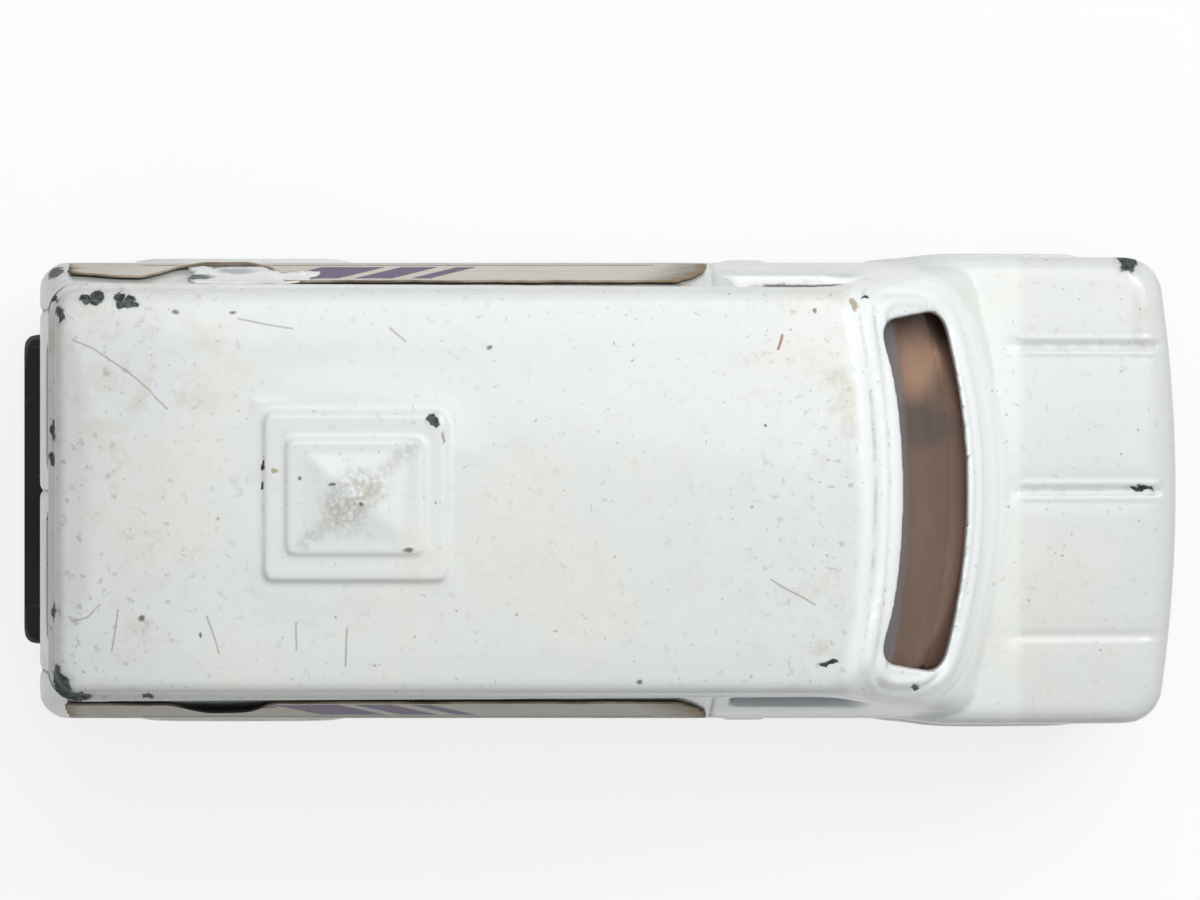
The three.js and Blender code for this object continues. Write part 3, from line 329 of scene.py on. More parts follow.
class Enamel(Finish):
    """White enamel on the zinc casting, with the noises, places and areas that its layers share."""

    def __init__(self):
        constants = {"IOR": 1.5, "Specular IOR Level": 0.28, "Coat Roughness": 0.1}
        super().__init__("chipped_white_enamel", constants)
        self.bend = self.attribute("edge_wear")
        self.run, self.across, self.height = self.axes()
        self.cloud = self.noise(0.1, 3, 1.0)
        self.grain = self.noise(0.75, 4, 2.0)
        self.fine = self.noise(3.4, 3, 3.0)
        self.broken = self.ragged(1.1, 1.5, 4.0)
        self.shaken = self.ragged(0.3, 2.6, 5.0)
        self.plan = self.vector("MULTIPLY", self.ragged(0.5, 0.3, 6.0), (1, 1, 0))
        self.gap, self.ahead = screen_gap(self, self.run, self.across)
        self.on_roof = self.ease(self.height, 24.5, 26.5)
        self.on_cab = self.ease(self.height, 16.4, 17.2)
        self.clean = self.ease(self.gap, 3.1, 2.3) * self.on_cab
        self.worn_ends = self.ease(self.run, -18, -31) | (self.ease(self.run, 6, 16) * self.on_roof)

    def white_with_painted_light(self):
        """White: clear round the windscreen, with a painted highlight on the left sill, grey-blue painted
        shade on the sides under the gutter, greyer painted shade at the roof's rear, the nose and the hood,
        painted shade on the rear wall, and painted shadow lines along the left sill and the right belt
        line.
        """
        on_left = self.across > 0
        on_right = self.across < 0
        clouded = self.ease(self.cloud, 0.35, 0.65)
        white = self.mix(clouded, (0.785, 0.825, 0.83, 1), (0.81, 0.835, 0.795, 1))
        white = self.mix(self.clean, white, (0.93, 0.96, 0.97, 1))
        # Painted highlight: the left sill is painted whiter than the white round it.
        sill = self.about(self.height, 20.9, 0.7, 0.5) * on_left
        sill = sill * self.span(self.run, (7.8, 8.4), (17.8, 17.0))
        white = self.mix(sill, white, (0.95, 0.97, 0.98, 1))
        # Painted shade: the sides under the gutter are painted grey-blue, more so on the shaded right side.
        wall_shade = self.span(self.height, (17.0, 20.5), (26.0, 25.2)) * self.ease(self.run, 20, 17)
        wall_shade = wall_shade * (1 - (self.clean | sill))
        white = self.mix(wall_shade * (0.5 + on_right * 0.4), white, (0.52, 0.59, 0.62, 1))
        # Painted shade: the roof's rear, the nose and the hood are painted greyer.
        hood = over_hood(self.ease, self.run, self.height) * (1 - self.clean) * 0.7
        painted_shade = self.ease(self.run, -20, -33) | self.ease(self.run, 33.5, 36.2) | hood
        white = self.mix(painted_shade * 0.3, white, (0.5, 0.5, 0.48, 1))
        # Painted shade: the rear wall is painted dark grey.
        behind = self.ease(self.run, -32.2, -33.4) * (0.2 + self.cloud * 0.3)
        white = self.mix(behind, white, (0.3, 0.31, 0.33, 1))
        # Painted shadow: a near-black line along the left sill by the glass, and another along the right
        # side's belt line.
        wide = self.maths("ABSOLUTE", self.across) + self.grain * 0.3
        slit_shadow = sill * self.ease(wide, 12.95, 12.8) * self.ease(self.run + self.grain * 6, 12.0, 13.5)
        belt = self.about(self.height + self.fine * 0.3, 16.5, 0.2, 0.05) * on_right
        belt = belt * self.span(self.run, (6.5, 8.0), (21.0, 18.0)) * self.grain
        return self.mix((slit_shadow * 0.9) | belt, white, (0.07, 0.075, 0.075, 1))

    def soiled(self, colour):
        """Adds film, stained areas and dirt in creases and seams; gives the film and creases too."""
        film = self.ease(self.grain * 0.7 + self.cloud * 0.3, 0.45, 0.7) * (1 - self.clean)
        film = film * self.ease(self.fine, 0.3, 0.7) * (0.14 + self.worn_ends * 0.26)
        colour = self.mix(film, colour, (0.5, 0.44, 0.33, 1))
        stained = self.patch(self.place, HANDLED_AREAS, 1.1, 0.4)
        stained = stained * self.ease(self.noise(0.55, 5, 8.0), 0.48, 0.68) * (1 - self.clean)
        colour = self.mix(stained * 0.42, colour, (0.56, 0.48, 0.37, 1))
        crease = self.ease(self.bend, -0.5, -1.5) * self.ease(self.grain, 0.25, 0.7) * (1 - self.clean)
        colour = self.mix(crease * 0.3, colour, (0.36, 0.33, 0.28, 1))
        seam = self.about(self.gap, 1.85, 0.2, 0.03) * self.ease(self.ahead, -0.6, -1.6)
        seam = seam * self.ease(self.grain * 0.6 + self.fine * 0.4, 0.42, 0.62)
        valley = self.about(self.gap, 0.9, 0.16, 0.03) * self.ease(self.ahead, 0.4, -0.4)
        valley = valley * self.ease(self.fine * 0.5 + self.grain * 0.5, 0.5, 0.62)
        dirt = ((seam * 0.4) | (valley * 0.35)) * self.on_cab
        return self.mix(dirt, colour, (0.4, 0.36, 0.29, 1)), film, crease

    def smudged(self, colour):
        """Adds the grime on the roof vent, and gives where it is."""
        smear = self.ease(self.from_line(self.plan, *VENT_SMEAR), 0.8, 0.1)
        smudge = self.patch(self.broken, VENT_BLOTS, 1.35, 0.4) | (smear * 0.55)
        smudge = smudge * self.ease(self.height, 28.9, 29.1)
        smudge = smudge * self.ease(self.fine * 0.7 + self.grain * 0.3, 0.36, 0.6)
        return self.mix(smudge * 0.7, colour, (0.4, 0.38, 0.29, 1)), smudge

    def specked(self, colour):
        """Adds dots, pits, short strokes, grit and single flecks, and gives the small marks."""
        dots = self.specks(self.shaken, 0.85, 0.32, 0.11)
        pits = self.specks(self.shaken, 1.9, 0.2, 0.16)
        drawn = [self.streaked(self.shaken, angle, (0.4, 3.2, 1.8)) for angle in (0.1, 1.1, 2.2)]
        strokes = reduce(Value.__or__, [self.specks(place, 1.0, 0.12, 0.1) for place in drawn])
        grit = self.ease(self.noise(1.9, 5, 7.0), 0.59, 0.7) * (0.25 + self.worn_ends * 0.5)
        grit = grit * (1 - self.clean)
        marks = (dots * 0.6) | (pits * 0.42) | (strokes * 0.5) | (grit * 0.5)
        colour = self.mix(marks, colour, (0.24, 0.2, 0.155, 1))
        flecks = self.patch(self.shaken, FLECKS, 1.25, 0.5)
        return self.mix(flecks * 0.85, colour, (0.1, 0.085, 0.07, 1)), marks

    def scratched(self, colour):
        """Adds hairline scratches, stains and one red stroke, and gives the scratches."""
        lines = [self.from_line(self.plan, start, end) for start, end in SCRATCHES]
        scratch = self.ease(reduce(Value.__and__, lines), 0.1, 0.0) * self.on_roof
        scratch = scratch * self.ease(self.fine * 0.5 + self.grain * 0.5, 0.25, 0.5)
        colour = self.mix(scratch * 0.75, colour, (0.34, 0.31, 0.25, 1))
        rust = self.patch(self.broken, RUST_SPOTS, 1.1, 0.7)
        ochre = self.patch(self.broken, OCHRE_STAINS, 1.2, 0.6)
        nose = self.patch(self.broken, NOSE_STAINS, 1.2, 0.2) * self.grain
        colour = self.mix(((rust | ochre) * 0.8) | (nose * 0.5), colour, (0.36, 0.28, 0.14, 1))
        red = self.ease(self.from_line(self.plan, *RED_STROKE), 0.11, 0.05) * self.on_roof
        return self.mix(red * 0.85, colour, (0.34, 0.08, 0.06, 1)), scratch

    def chipped(self, colour):
        """Bares the zinc in the chips and on rubbed edges, and gives where it is bare."""
        to_chip = self.nearest(self.broken, CHIPS)
        rubbed = self.ease(self.bend + self.grain * 1.6 + self.fine * 0.5, 2.15, 2.4)
        low_or_rear = self.ease(self.height, 17, 14) | self.ease(self.run, -31, -32.5)
        chip = self.ease(to_chip, 1.12, 0.88) | (rubbed * low_or_rear)
        halo = self.ease(to_chip, 1.8, 1.0)
        colour = self.mix(halo * self.fine * 0.55, colour, (0.36, 0.35, 0.29, 1))
        zinc = self.mix(self.ease(self.fine, 0.4, 0.66), (0.026, 0.034, 0.032, 1), (0.09, 0.105, 0.1, 1))
        return self.mix(chip, colour, zinc), chip


def chipped_enamel():
    """White enamel with painted shade, a painted highlight and painted shadow lines: clouded, soiled,
    specked, scratched, and knocked off at the corners.
    """
    paint = Enamel()
    colour, film, crease = paint.soiled(paint.white_with_painted_light())
    colour, smudge = paint.smudged(colour)
    colour, marks = paint.specked(colour)
    colour, scratch = paint.scratched(colour)
    colour, chip = paint.chipped(colour)
    peel = paint.grain * 0.02 + paint.fine * 0.004 - marks * 0.01 - scratch * 0.006 - chip * 0.05
    return paint.dress(
        Base_Color=colour,
        Roughness=0.28 + film * 0.5 + crease * 0.3 + chip * 0.25 + smudge * 0.3,
        Metallic=chip * 0.45,
        Coat_Weight=0.4 * (1 - chip) * (1 - crease),
        Normal=paint.bump(peel, 1, 1),
    )


def smoked_clear():
    """Brown tinted clear moulding, with a painted reflection as a grey band along the windscreen's top
    edge, dust specks, and a painted shadow along its bottom edge.
    """
    clear = Finish("smoked_clear_moulding", {"IOR": 1.49, "Specular IOR Level": 0.4})
    run, across, height = clear.axes()
    gap, ahead = screen_gap(clear, run, across)
    cloud = clear.noise(0.35, 3, 11.0)
    fine = clear.noise(2.5, 3, 12.0)
    in_screen = clear.ease(run, 16.0, 17.0)
    at_edge = clear.ease(ahead, -0.4, -1.0) | clear.ease(across, 8.6, 10.2)
    # Painted reflection: a grey band along the windscreen's top edge.
    upper_reflection = clear.ease(gap + fine * 0.3, -0.65, -0.1) * at_edge * in_screen
    # Painted shadow: near-black and nearly opaque along the windscreen's bottom edge.
    lower_shadow = clear.ease(gap + fine * 0.15, -0.38, -0.1) * clear.ease(ahead, 0.3, 1.0) * in_screen
    dots = clear.specks(clear.ragged(0.3, 2.6, 13.0), 1.5, 0.4, 0.1)
    # Holds the painted reflection band and the dust specks.
    dusty = (upper_reflection * 0.8) | (dots * 0.3)
    tint = clear.mix(cloud, (0.13, 0.085, 0.066, 1), (0.21, 0.15, 0.12, 1))
    tint = clear.mix(lower_shadow, tint, (0.02, 0.014, 0.012, 1))
    side_dust = clear.ease(height + cloud * 1.2, 25.2, 26.2) * (1 - in_screen)
    return clear.dress(
        Base_Color=clear.mix(dusty | (side_dust * 0.6), tint, (0.2, 0.21, 0.22, 1)),
        Roughness=0.07 + cloud * 0.1 + dusty * 0.4,
        Alpha=0.12 + cloud * 0.14 + dusty * 0.5 + lower_shadow * 0.7,
        Normal=clear.bump(cloud + fine * 0.1, 0.3, 0.05),
    )


# A pale tan painted reflection, a dark painted shade and a grey patch on the dash: centre, half sizes,
# solid core, strength and colour
DASH_REFLECTION_SHADE_AND_GREY = [
    ((20.2, 8.2, 18.4), (1.7, 2.6, 3), 0.3, 1.0, (1.0, 0.62, 0.41, 1)),
    ((22.3, 10.8, 18.4), (1.4, 2.0, 3), 0.4, 0.85, (0.07, 0.05, 0.045, 1)),
    ((20.4, 4.0, 18.4), (2.2, 1.7, 3), 0.4, 0.8, (0.17, 0.15, 0.15, 1)),
]


def brown_moulding():
    """Satin brown plastic of the seats and dash, with a painted reflection, painted shade and a grey patch
    on the dash, painted highlights on its edges and painted shade in its creases.
    """
    brown = Finish("brown_cabin_moulding", {"IOR": 1.46, "Specular IOR Level": 0.35})
    bend = brown.attribute("edge_wear")
    cloud = brown.noise(0.25, 3, 21.0)
    fine = brown.noise(4.5, 3, 22.0)
    dash_patch_place = brown.ragged(1.6, 0.4, 23.0)
    base = brown.mix(cloud, (0.3, 0.19, 0.14, 1), (0.42, 0.285, 0.22, 1))
    # Paints in the dash's reflection, its shade and its grey patch.
    for centre, radii, core, share, tone in DASH_REFLECTION_SHADE_AND_GREY:
        stain_and_painted_light = brown.patch(dash_patch_place, [(centre, radii)], 1.3, core) * share
        base = brown.mix(stain_and_painted_light, base, tone)
    # Painted highlight: the edges are painted lighter.
    edge = brown.ease(bend, 0.5, 1.6) * 0.35
    base = brown.mix(edge, base, (0.5, 0.35, 0.26, 1))
    # Painted shade: the creases are painted near-black.
    crease = brown.ease(bend, -0.3, -1.2) * 0.6
    base = brown.mix(crease, base, (0.05, 0.03, 0.022, 1))
    return brown.dress(
        Base_Color=base,
        Roughness=0.48 + fine * 0.2,
        Normal=brown.bump(fine * 0.4 + cloud * 0.5, 0.4, 0.04),
    )


def black_moulding():
    """Black satin plastic, greyed by scuffs on its edges and dusty in its corners."""
    black = Finish("black_scuffed_moulding", {"IOR": 1.46, "Specular IOR Level": 0.16})
    bend = black.attribute("edge_wear")
    cloud = black.noise(0.3, 4, 31.0)
    fine = black.noise(5.0, 3, 32.0)
    base = black.mix(cloud, (0.012, 0.012, 0.014, 1), (0.025, 0.025, 0.028, 1))
    scuff = black.ease(bend + cloud * 1.4, 1.45, 2.3)
    base = black.mix(scuff * 0.6, base, (0.14, 0.14, 0.145, 1))
    dust = black.ease(bend, -0.2, -1.2) * black.ease(cloud, 0.3, 0.6)
    base = black.mix(dust * 0.5, base, (0.2, 0.17, 0.13, 1))
    streak = black.vector("MULTIPLY", black.place, (0.3, 2.4, 2.4))
    lines = black.ease(black.noise(1.1, 2, 33.0, streak), 0.64, 0.72)
    base = black.mix(lines * 0.35, base, (0.13, 0.13, 0.13, 1))
    return black.dress(
        Base_Color=base,
        Roughness=0.42 + fine * 0.16 + dust * 0.25 + scuff * 0.1,
        Normal=black.bump(fine + cloud * 0.4 - lines * 0.3, 0.5, 0.05),
    )


def worn_plating():
    """Thin bright plating on plastic, dulled, and rubbed through to the grey on its edges."""
    bright = Finish("worn_bright_plating", {"IOR": 1.5})
    bend = bright.attribute("edge_wear")
    cloud = bright.noise(0.7, 4, 41.0)
    fine = bright.noise(5.5, 3, 42.0)
    rubbed = bright.ease(bend + cloud * 2.4, 3.0, 3.6)
    grime = bright.ease(bend, -0.3, -2.0) * bright.ease(cloud, 0.25, 0.6)
    base = bright.mix(cloud, (0.74, 0.75, 0.76, 1), (0.6, 0.6, 0.59, 1))
    base = bright.mix(rubbed, base, (0.2, 0.2, 0.2, 1))
    base = bright.mix(grime * 0.8, base, (0.06, 0.05, 0.04, 1))
    spots = bright.specks(bright.place, 1.8, 0.35, 0.16)
    base = bright.mix(spots * 0.6, base, (0.22, 0.18, 0.13, 1))
    return bright.dress(
        Base_Color=base,
        Metallic=(1 - rubbed) * (1 - grime * 0.8),
        Roughness=0.2 + fine * 0.12 + cloud * 0.1 + rubbed * 0.3 + grime * 0.4,
        Normal=bright.bump(fine * 0.4 + cloud, 0.3, 0.03),
    )


def drawn_steel():
    """Steel wire with drawing marks, browned in spots."""
    steel = Finish("drawn_steel_wire", {"IOR": 2.0})
    along = steel.vector("MULTIPLY", steel.place, (7.0, 0.5, 7.0))
    marks = steel.noise(1.0, 3, 51.0, along)
    cloud = steel.noise(0.9, 4, 52.0)
    rust = steel.ease(cloud, 0.56, 0.7)
    base = steel.mix(marks, (0.5, 0.5, 0.49, 1), (0.63, 0.63, 0.62, 1))
    base = steel.mix(rust * 0.7, base, (0.19, 0.09, 0.045, 1))
    return steel.dress(
        Base_Color=base,
        Metallic=1 - rust * 0.8,
        Roughness=0.28 + marks * 0.15 + rust * 0.35,
        Normal=steel.bump(marks, 0.35, 0.03),
    )


def scuffed_tyre():
    """Black moulded tyre, worn grey where it rolls and dusty between its blocks."""
    tyre = Finish("scuffed_black_tyre", {"IOR": 1.45, "Specular IOR Level": 0.35})
    bend = tyre.attribute("edge_wear")
    cloud = tyre.noise(0.45, 4, 61.0)
    fine = tyre.noise(6.0, 3, 62.0)
    base = tyre.mix(cloud, (0.013, 0.013, 0.014, 1), (0.026, 0.026, 0.027, 1))
    worn = tyre.ease(bend + cloud * 1.6, 1.3, 2.6)
    base = tyre.mix(worn * 0.55, base, (0.085, 0.085, 0.086, 1))
    dust = tyre.ease(bend, -0.3, -1.8) * tyre.ease(cloud, 0.25, 0.6)
    base = tyre.mix(dust * 0.6, base, (0.15, 0.12, 0.09, 1))
    return tyre.dress(
        Base_Color=base,
        Roughness=0.6 + fine * 0.2 + dust * 0.15,
        Normal=tyre.bump(fine + cloud * 0.4, 0.5, 0.05),
    )


# Bars printed on the labels: middle and half width along them
PRINTED_BARS = [(-4.6, 2.0), (-0.5, 1.15), (2.4, 0.6)]

# Painted shadow in the right label's torn pocket, and painted shade in the torn flap's hollows
POCKET_SHADOWS = [((-22.0, -13.2, 22.4), (3.2, 2, 1.5))]
FLAP_HOLLOW_SHADES = [((-24.0, 13.0, 23.7), (1.2, 2, 0.4))]
FLAP_POCKET_SHADES = [((-21.6, 13.0, 22.8), (1.5, 2, 0.5))]


def printed_paper(paper, grain, fine):
    """Cream paper, streaked along its length, with plain slanted purple bars and a thin dark rule, and
    painted shade that makes the right label darker.
    """
    run, across, height = paper.axes()
    colour = paper.mix(paper.noise(0.22, 4, 71.0), (0.82, 0.82, 0.74, 1), (0.7, 0.67, 0.56, 1))
    # Painted shade: the right label is painted darker.
    colour = paper.mix((across < 0) * 0.4, colour, (0.42, 0.41, 0.36, 1))
    lines = paper.noise(0.6, 3, 75.0, paper.vector("MULTIPLY", paper.place, (0.12, 1, 2.6)))
    colour = paper.mix(paper.ease(lines, 0.5, 0.75) * 0.5, colour, (0.56, 0.52, 0.42, 1))
    slant = run + height * 0.55 + grain * 0.12
    gaps = [paper.maths("ABSOLUTE", slant - middle) - half for middle, half in PRINTED_BARS]
    inked = paper.ease(reduce(Value.__and__, gaps), 0.05, -0.05) * paper.ease(fine, 0.24, 0.38)
    inked = inked * paper.ease(height, 18.2, 18.3) * paper.ease(height + grain * 0.3, 23.3, 23.2)
    purple = paper.mix(fine, (0.09, 0.065, 0.14, 1), (0.155, 0.12, 0.21, 1))
    colour = paper.mix(inked, colour, purple)
    rule = paper.about(height, 17.5, 0.16, 0.12) * paper.span(run, (-28, -27.8), (4.0, 3.8))
    return paper.mix(rule * 0.85, colour, (0.07, 0.05, 0.1, 1))


def torn_fibre(paper, fine, ragged):
    """The torn flap's white fibre, with painted shade in its hollows."""
    fibre = paper.mix(fine, (0.88, 0.9, 0.91, 1), (0.95, 0.96, 0.96, 1))
    # Painted shade: dark in the flap's hollows, grey in its pockets.
    fibre = paper.mix(paper.patch(ragged, FLAP_HOLLOW_SHADES, 1.1, 0.7), fibre, (0.16, 0.18, 0.19, 1))
    return paper.mix(paper.patch(ragged, FLAP_POCKET_SHADES, 1.2, 0.5) * 0.7, fibre, (0.36, 0.38, 0.4, 1))


def aged_paper():
    """Printed label paper, browned and blackened along its torn edges, with a painted shadow in the right
    label's torn pocket.
    """
    paper = Finish("aged_label_paper", {"IOR": 1.4, "Specular IOR Level": 0.3})
    margin = paper.attribute("margin")
    grain = paper.noise(1.3, 4, 72.0)
    fine = paper.noise(5.0, 3, 73.0)
    ragged = paper.ragged(1.0, 0.8, 74.0)
    run, across, height = paper.axes()
    colour = printed_paper(paper, grain, fine)
    front = paper.ease(run + height * 0.25 + grain, 8.4, 12.0) * (0.35 + grain * 1.2)
    colour = paper.mix(front * 0.9, colour, (0.22, 0.175, 0.115, 1))
    rear = paper.ease(run, -26.5, -31.5) * paper.ease(grain, 0.3, 0.6)
    colour = paper.mix(rear * 0.4, colour, (0.4, 0.33, 0.23, 1))
    low = paper.ease(height, 18.0, 16.8)
    stain_and_painted_light = paper.ease(margin - grain * 1.2, 0.3, -0.5) * (1 - low * 0.8)
    colour = paper.mix(stain_and_painted_light * 0.6, colour, (0.33, 0.22, 0.12, 1))
    share = paper.ease(paper.noise(0.25, 2, 76.0), 0.4, 0.66)
    line = paper.ease(margin - share * 0.22, 0.06, -0.04) * (1 - low) * (0.3 + share * 0.7)
    colour = paper.mix(line * 0.85, colour, (0.085, 0.05, 0.028, 1))
    # Painted shadow: the right label's torn pocket is painted black.
    pocket_shadow = paper.patch(ragged, POCKET_SHADOWS, 1.1, 0.8) * (across < 0)
    colour = paper.mix(pocket_shadow * 0.95, colour, (0.018, 0.015, 0.012, 1))
    spots = paper.specks(ragged, 1.1, 0.4, 0.14)
    colour = paper.mix(spots * 0.5, colour, (0.2, 0.14, 0.08, 1))
    bare = paper.attribute("torn") * (1 - line * 0.4)
    return paper.dress(
        Base_Color=paper.mix(bare, colour, torn_fibre(paper, fine, ragged)),
        Roughness=0.42 + fine * 0.2 + stain_and_painted_light * 0.15,
        Normal=paper.bump(fine * 0.5 + grain, 0.4, 0.06),
    )


class Pattern(Nodes):
    """A Geometry Nodes tree with named inputs, which repeats one small form and gives it a finish."""

    KINDS = {int: "NodeSocketInt", float: "NodeSocketFloat", tuple: "NodeSocketVector"}

    def __init__(self, name, inputs):
        super().__init__(bpy.data.node_groups.new(name, "GeometryNodeTree"))
        face = self.tree.interface
        face.new_socket("Geometry", in_out="OUTPUT", socket_type="NodeSocketGeometry")
        kinds = {key: self.KINDS[type(value)] for key, value in inputs.items()}
        kinds["Finish"] = "NodeSocketMaterial"
        made = {key: face.new_socket(key, in_out="INPUT", socket_type=kind) for key, kind in kinds.items()}
        self.keys = {key: socket.identifier for key, socket in made.items()}
        self.start = self.tree.nodes.new("NodeGroupInput")

    def given(self, key):
        return Value(self, self.start.outputs[key])

    def round_axis(self, turn):
        """Points round a wheel's axis, turned by a share of their step, and their angle."""
        angle = (self.node("GeometryNodeInputIndex") + turn) / self.given("Count") * math.tau
        x = self.maths("COSINE", angle) * self.given("Radius")
        z = self.maths("SINE", angle) * self.given("Radius")
        sockets = {"Count": self.given("Count"), "Position": self.together(x, self.given("Along"), z)}
        return self.node("GeometryNodePoints", sockets), angle

    def close(self, points, form, rotation):
        """Ends the tree: the form on each point, made real, with its finish."""
        sockets = {"Points": points, "Instance": form, "Rotation": rotation}
        instances = self.node("GeometryNodeInstanceOnPoints", sockets)
        real = self.node("GeometryNodeRealizeInstances", {"Geometry": instances})
        sockets = {"Geometry": real, "Material": self.given("Finish")}
        finished = self.node("GeometryNodeSetMaterial", sockets)
        self.fill(self.tree.nodes.new("NodeGroupOutput"), {"Geometry": finished})

    def mesh(self, finish, **values):
        """A plain mesh of the pattern with these sizes."""
        carrier = placed("carrier", bpy.data.meshes.new("pattern"))
        repeat = carrier.modifiers.new("repeat", "NODES")
        repeat.node_group = self.tree
        repeat[self.keys["Finish"]] = finish
        for key, value in values.items():
            repeat[self.keys[key]] = value
        return taken(carrier)


def placed(name, data):
    """A new object in the scene that holds this data."""
    made = bpy.data.objects.new(name, data)
    bpy.context.scene.collection.objects.link(made)
    return made


def taken(carrier):
    """The carrier's evaluated form as a plain mesh; the carrier and its modifiers go."""
    evaluated = carrier.evaluated_get(bpy.context.evaluated_depsgraph_get())
    mesh = bpy.data.meshes.new_from_object(evaluated)
    bpy.data.objects.remove(carrier)
    return mesh


def ring_pattern():
    """Blocks round a wheel's axis, such as tread: their radius, their place along it and their size."""
    inputs = {"Count": 1, "Radius": 1.0, "Along": 1.0, "Turn": 1.0, "Block": (1, 1, 1)}
    ring = Pattern("ring_of_blocks", inputs)
    points, angle = ring.round_axis(ring.given("Turn"))
    block = ring.node("GeometryNodeMeshCube", {"Size": ring.given("Block")})
    ring.close(points, block, ring.together(0, angle * -1, 0))
    return ring


def nut_pattern():
    """Six-sided nuts round a wheel's axis."""
    ring = Pattern("ring_of_nuts", {"Count": 1, "Radius": 1.0, "Along": 1.0, "Nut": 1.0, "Height": 1.0})
    points, _ = ring.round_axis(0.5)
    sizes = {"Vertices": 6, "Radius": ring.given("Nut"), "Depth": ring.given("Height")}
    nut = ring.node("GeometryNodeMeshCylinder", sizes, "Mesh")
    ring.close(points, nut, (math.pi / 2, 0, 0))
    return ring


def row_pattern():
    """Bars in a row, such as lens ribs or seat pleats: the first one's place, the step, and their size."""
    inputs = {"Count": 1, "First": (1, 1, 1), "Step": (1, 1, 1), "Bar": (1, 1, 1), "Lean": 1.0}
    row = Pattern("row_of_bars", inputs)
    sizes = {"Count": row.given("Count"), "Start Location": row.given("First"), "Offset": row.given("Step")}
    points = row.node("GeometryNodeMeshLine", sizes, mode="OFFSET")
    bar = row.node("GeometryNodeMeshCube", {"Size": row.given("Bar")})
    row.close(points, bar, row.together(0, row.given("Lean"), 0))
    return row


def mesh_of(shape):
    """The mesh of a bmesh, which is freed."""
    mesh = bpy.data.meshes.new("form")
    shape.to_mesh(mesh)
    shape.free()
    return mesh


def joined(meshes):
    """One mesh of several, with equal points merged."""
    shape = bmesh.new()
    for mesh in meshes:
        shape.from_mesh(mesh)
    bmesh.ops.remove_doubles(shape, verts=shape.verts, dist=1e-7)
    return mesh_of(shape)


def skinned(meshes, voxel, rounds):
    """One skin over the given forms, its edges eased as casting and moulding leave them."""
    carrier = placed("carrier", joined(meshes))
    skin = carrier.modifiers.new("skin", "REMESH")
    skin.mode = "VOXEL"
    skin.voxel_size = voxel * MM
    ease = carrier.modifiers.new("ease", "SMOOTH")
    ease.factor = 0.5
    ease.iterations = rounds
    return taken(carrier)


def thinned(mesh, triangles):
    """The skin with fewer faces, shaded smooth, its edges and creases marked."""
    carrier = placed("carrier", mesh)
    thin = carrier.modifiers.new("thin", "DECIMATE")
    thin.ratio = min(1, triangles / (2 * len(mesh.polygons)))
    result = taken(carrier)
    result.shade_smooth()
    mark_edges(result)
    return result


# Skin of each kind of piece: voxel in millimetres, rounds of easing, and triangles
SKINS = {
    "body_shell": (0.16, 7, 196000),
    "glazing": (0.2, 4, 60000),
    "interior": (0.17, 3, 90000),
    "steering_wheel": (0.08, 3, 14000),
    "base_plate": (0.18, 4, 110000),
    "grille": (0.09, 2, 40000),
    "axle": (0.09, 3, 14000),
    "keeper": (0.1, 3, 12000),
    "rim": (0.075, 3, 22000),
    "tyre": (0.075, 3, 26000),
}


def moulded(meshes, kind):
    voxel, rounds, triangles = SKINS[kind]
    return thinned(skinned(meshes, voxel, rounds), triangles)


def vertex_values(mesh, name):
    values = np.empty(len(mesh.vertices) * 3)
    mesh.vertices.foreach_get(name, values)
    return values.reshape(-1, 3)


def set_points(mesh, points):
    mesh.vertices.foreach_set("co", (points * MM).ravel())
    mesh.update()


# The roof's level grid, and the vent that it leaves alone
GRID_START = (-38, -16)
GRID_CELL = 0.5
GRID_SHAPE = (160, 64)
ROOF_LEVEL = 27
VENT_MIDDLE = (-14, -0.25)
VENT_REACH = (6.2, 5.8)


def calm_roof(mesh):
    """Draws the roof into one soft curve between its edges and the vent, as thick enamel leaves it."""
    points = vertex_values(mesh, "co") / MM
    x, y, z = points.T
    in_vent = (abs(x - VENT_MIDDLE[0]) < VENT_REACH[0]) & (abs(y - VENT_MIDDLE[1]) < VENT_REACH[1])
    roof = (z > ROOF_LEVEL) & (vertex_values(mesh, "normal")[:, 2] > 0.94) & ~in_vent
    column = (x - GRID_START[0]) / GRID_CELL
    row = (y - GRID_START[1]) / GRID_CELL
    total = np.zeros(GRID_SHAPE)
    count = np.zeros(GRID_SHAPE)
    held = (column[roof].astype(int), row[roof].astype(int))
    np.add.at(total, held, z[roof])
    np.add.at(count, held, 1)
    bell = np.exp(-0.5 * (np.arange(-15, 16) / 5) ** 2)
    bell /= bell.sum()

    def blurred(grid):
        for axis in (0, 1):
            grid = np.apply_along_axis(np.convolve, axis, grid, bell, "same")
        return grid

    share = blurred((count > 0) * 1.0)
    level = blurred(total / np.maximum(count, 1)) / np.maximum(share, 1e-6)

    def read(grid):
        i = np.clip(column - 0.5, 0, GRID_SHAPE[0] - 2)
        j = np.clip(row - 0.5, 0, GRID_SHAPE[1] - 2)
        i0, j0 = i.astype(int), j.astype(int)
        u, v = i - i0, j - j0
        near = grid[i0, j0] * (1 - u) + grid[i0 + 1, j0] * u
        far = grid[i0, j0 + 1] * (1 - u) + grid[i0 + 1, j0 + 1] * u
        return near * (1 - v) + far * v

    z[roof] += (ramp(read(share), 0.55, 0.95) * (read(level) - z))[roof]
    set_points(mesh, points)
    return mesh


def edge_ends(mesh):
    ends = np.empty(len(mesh.edges) * 2, dtype=np.int32)
    mesh.edges.foreach_get("vertices", ends)
    return ends.reshape(-1, 2).T


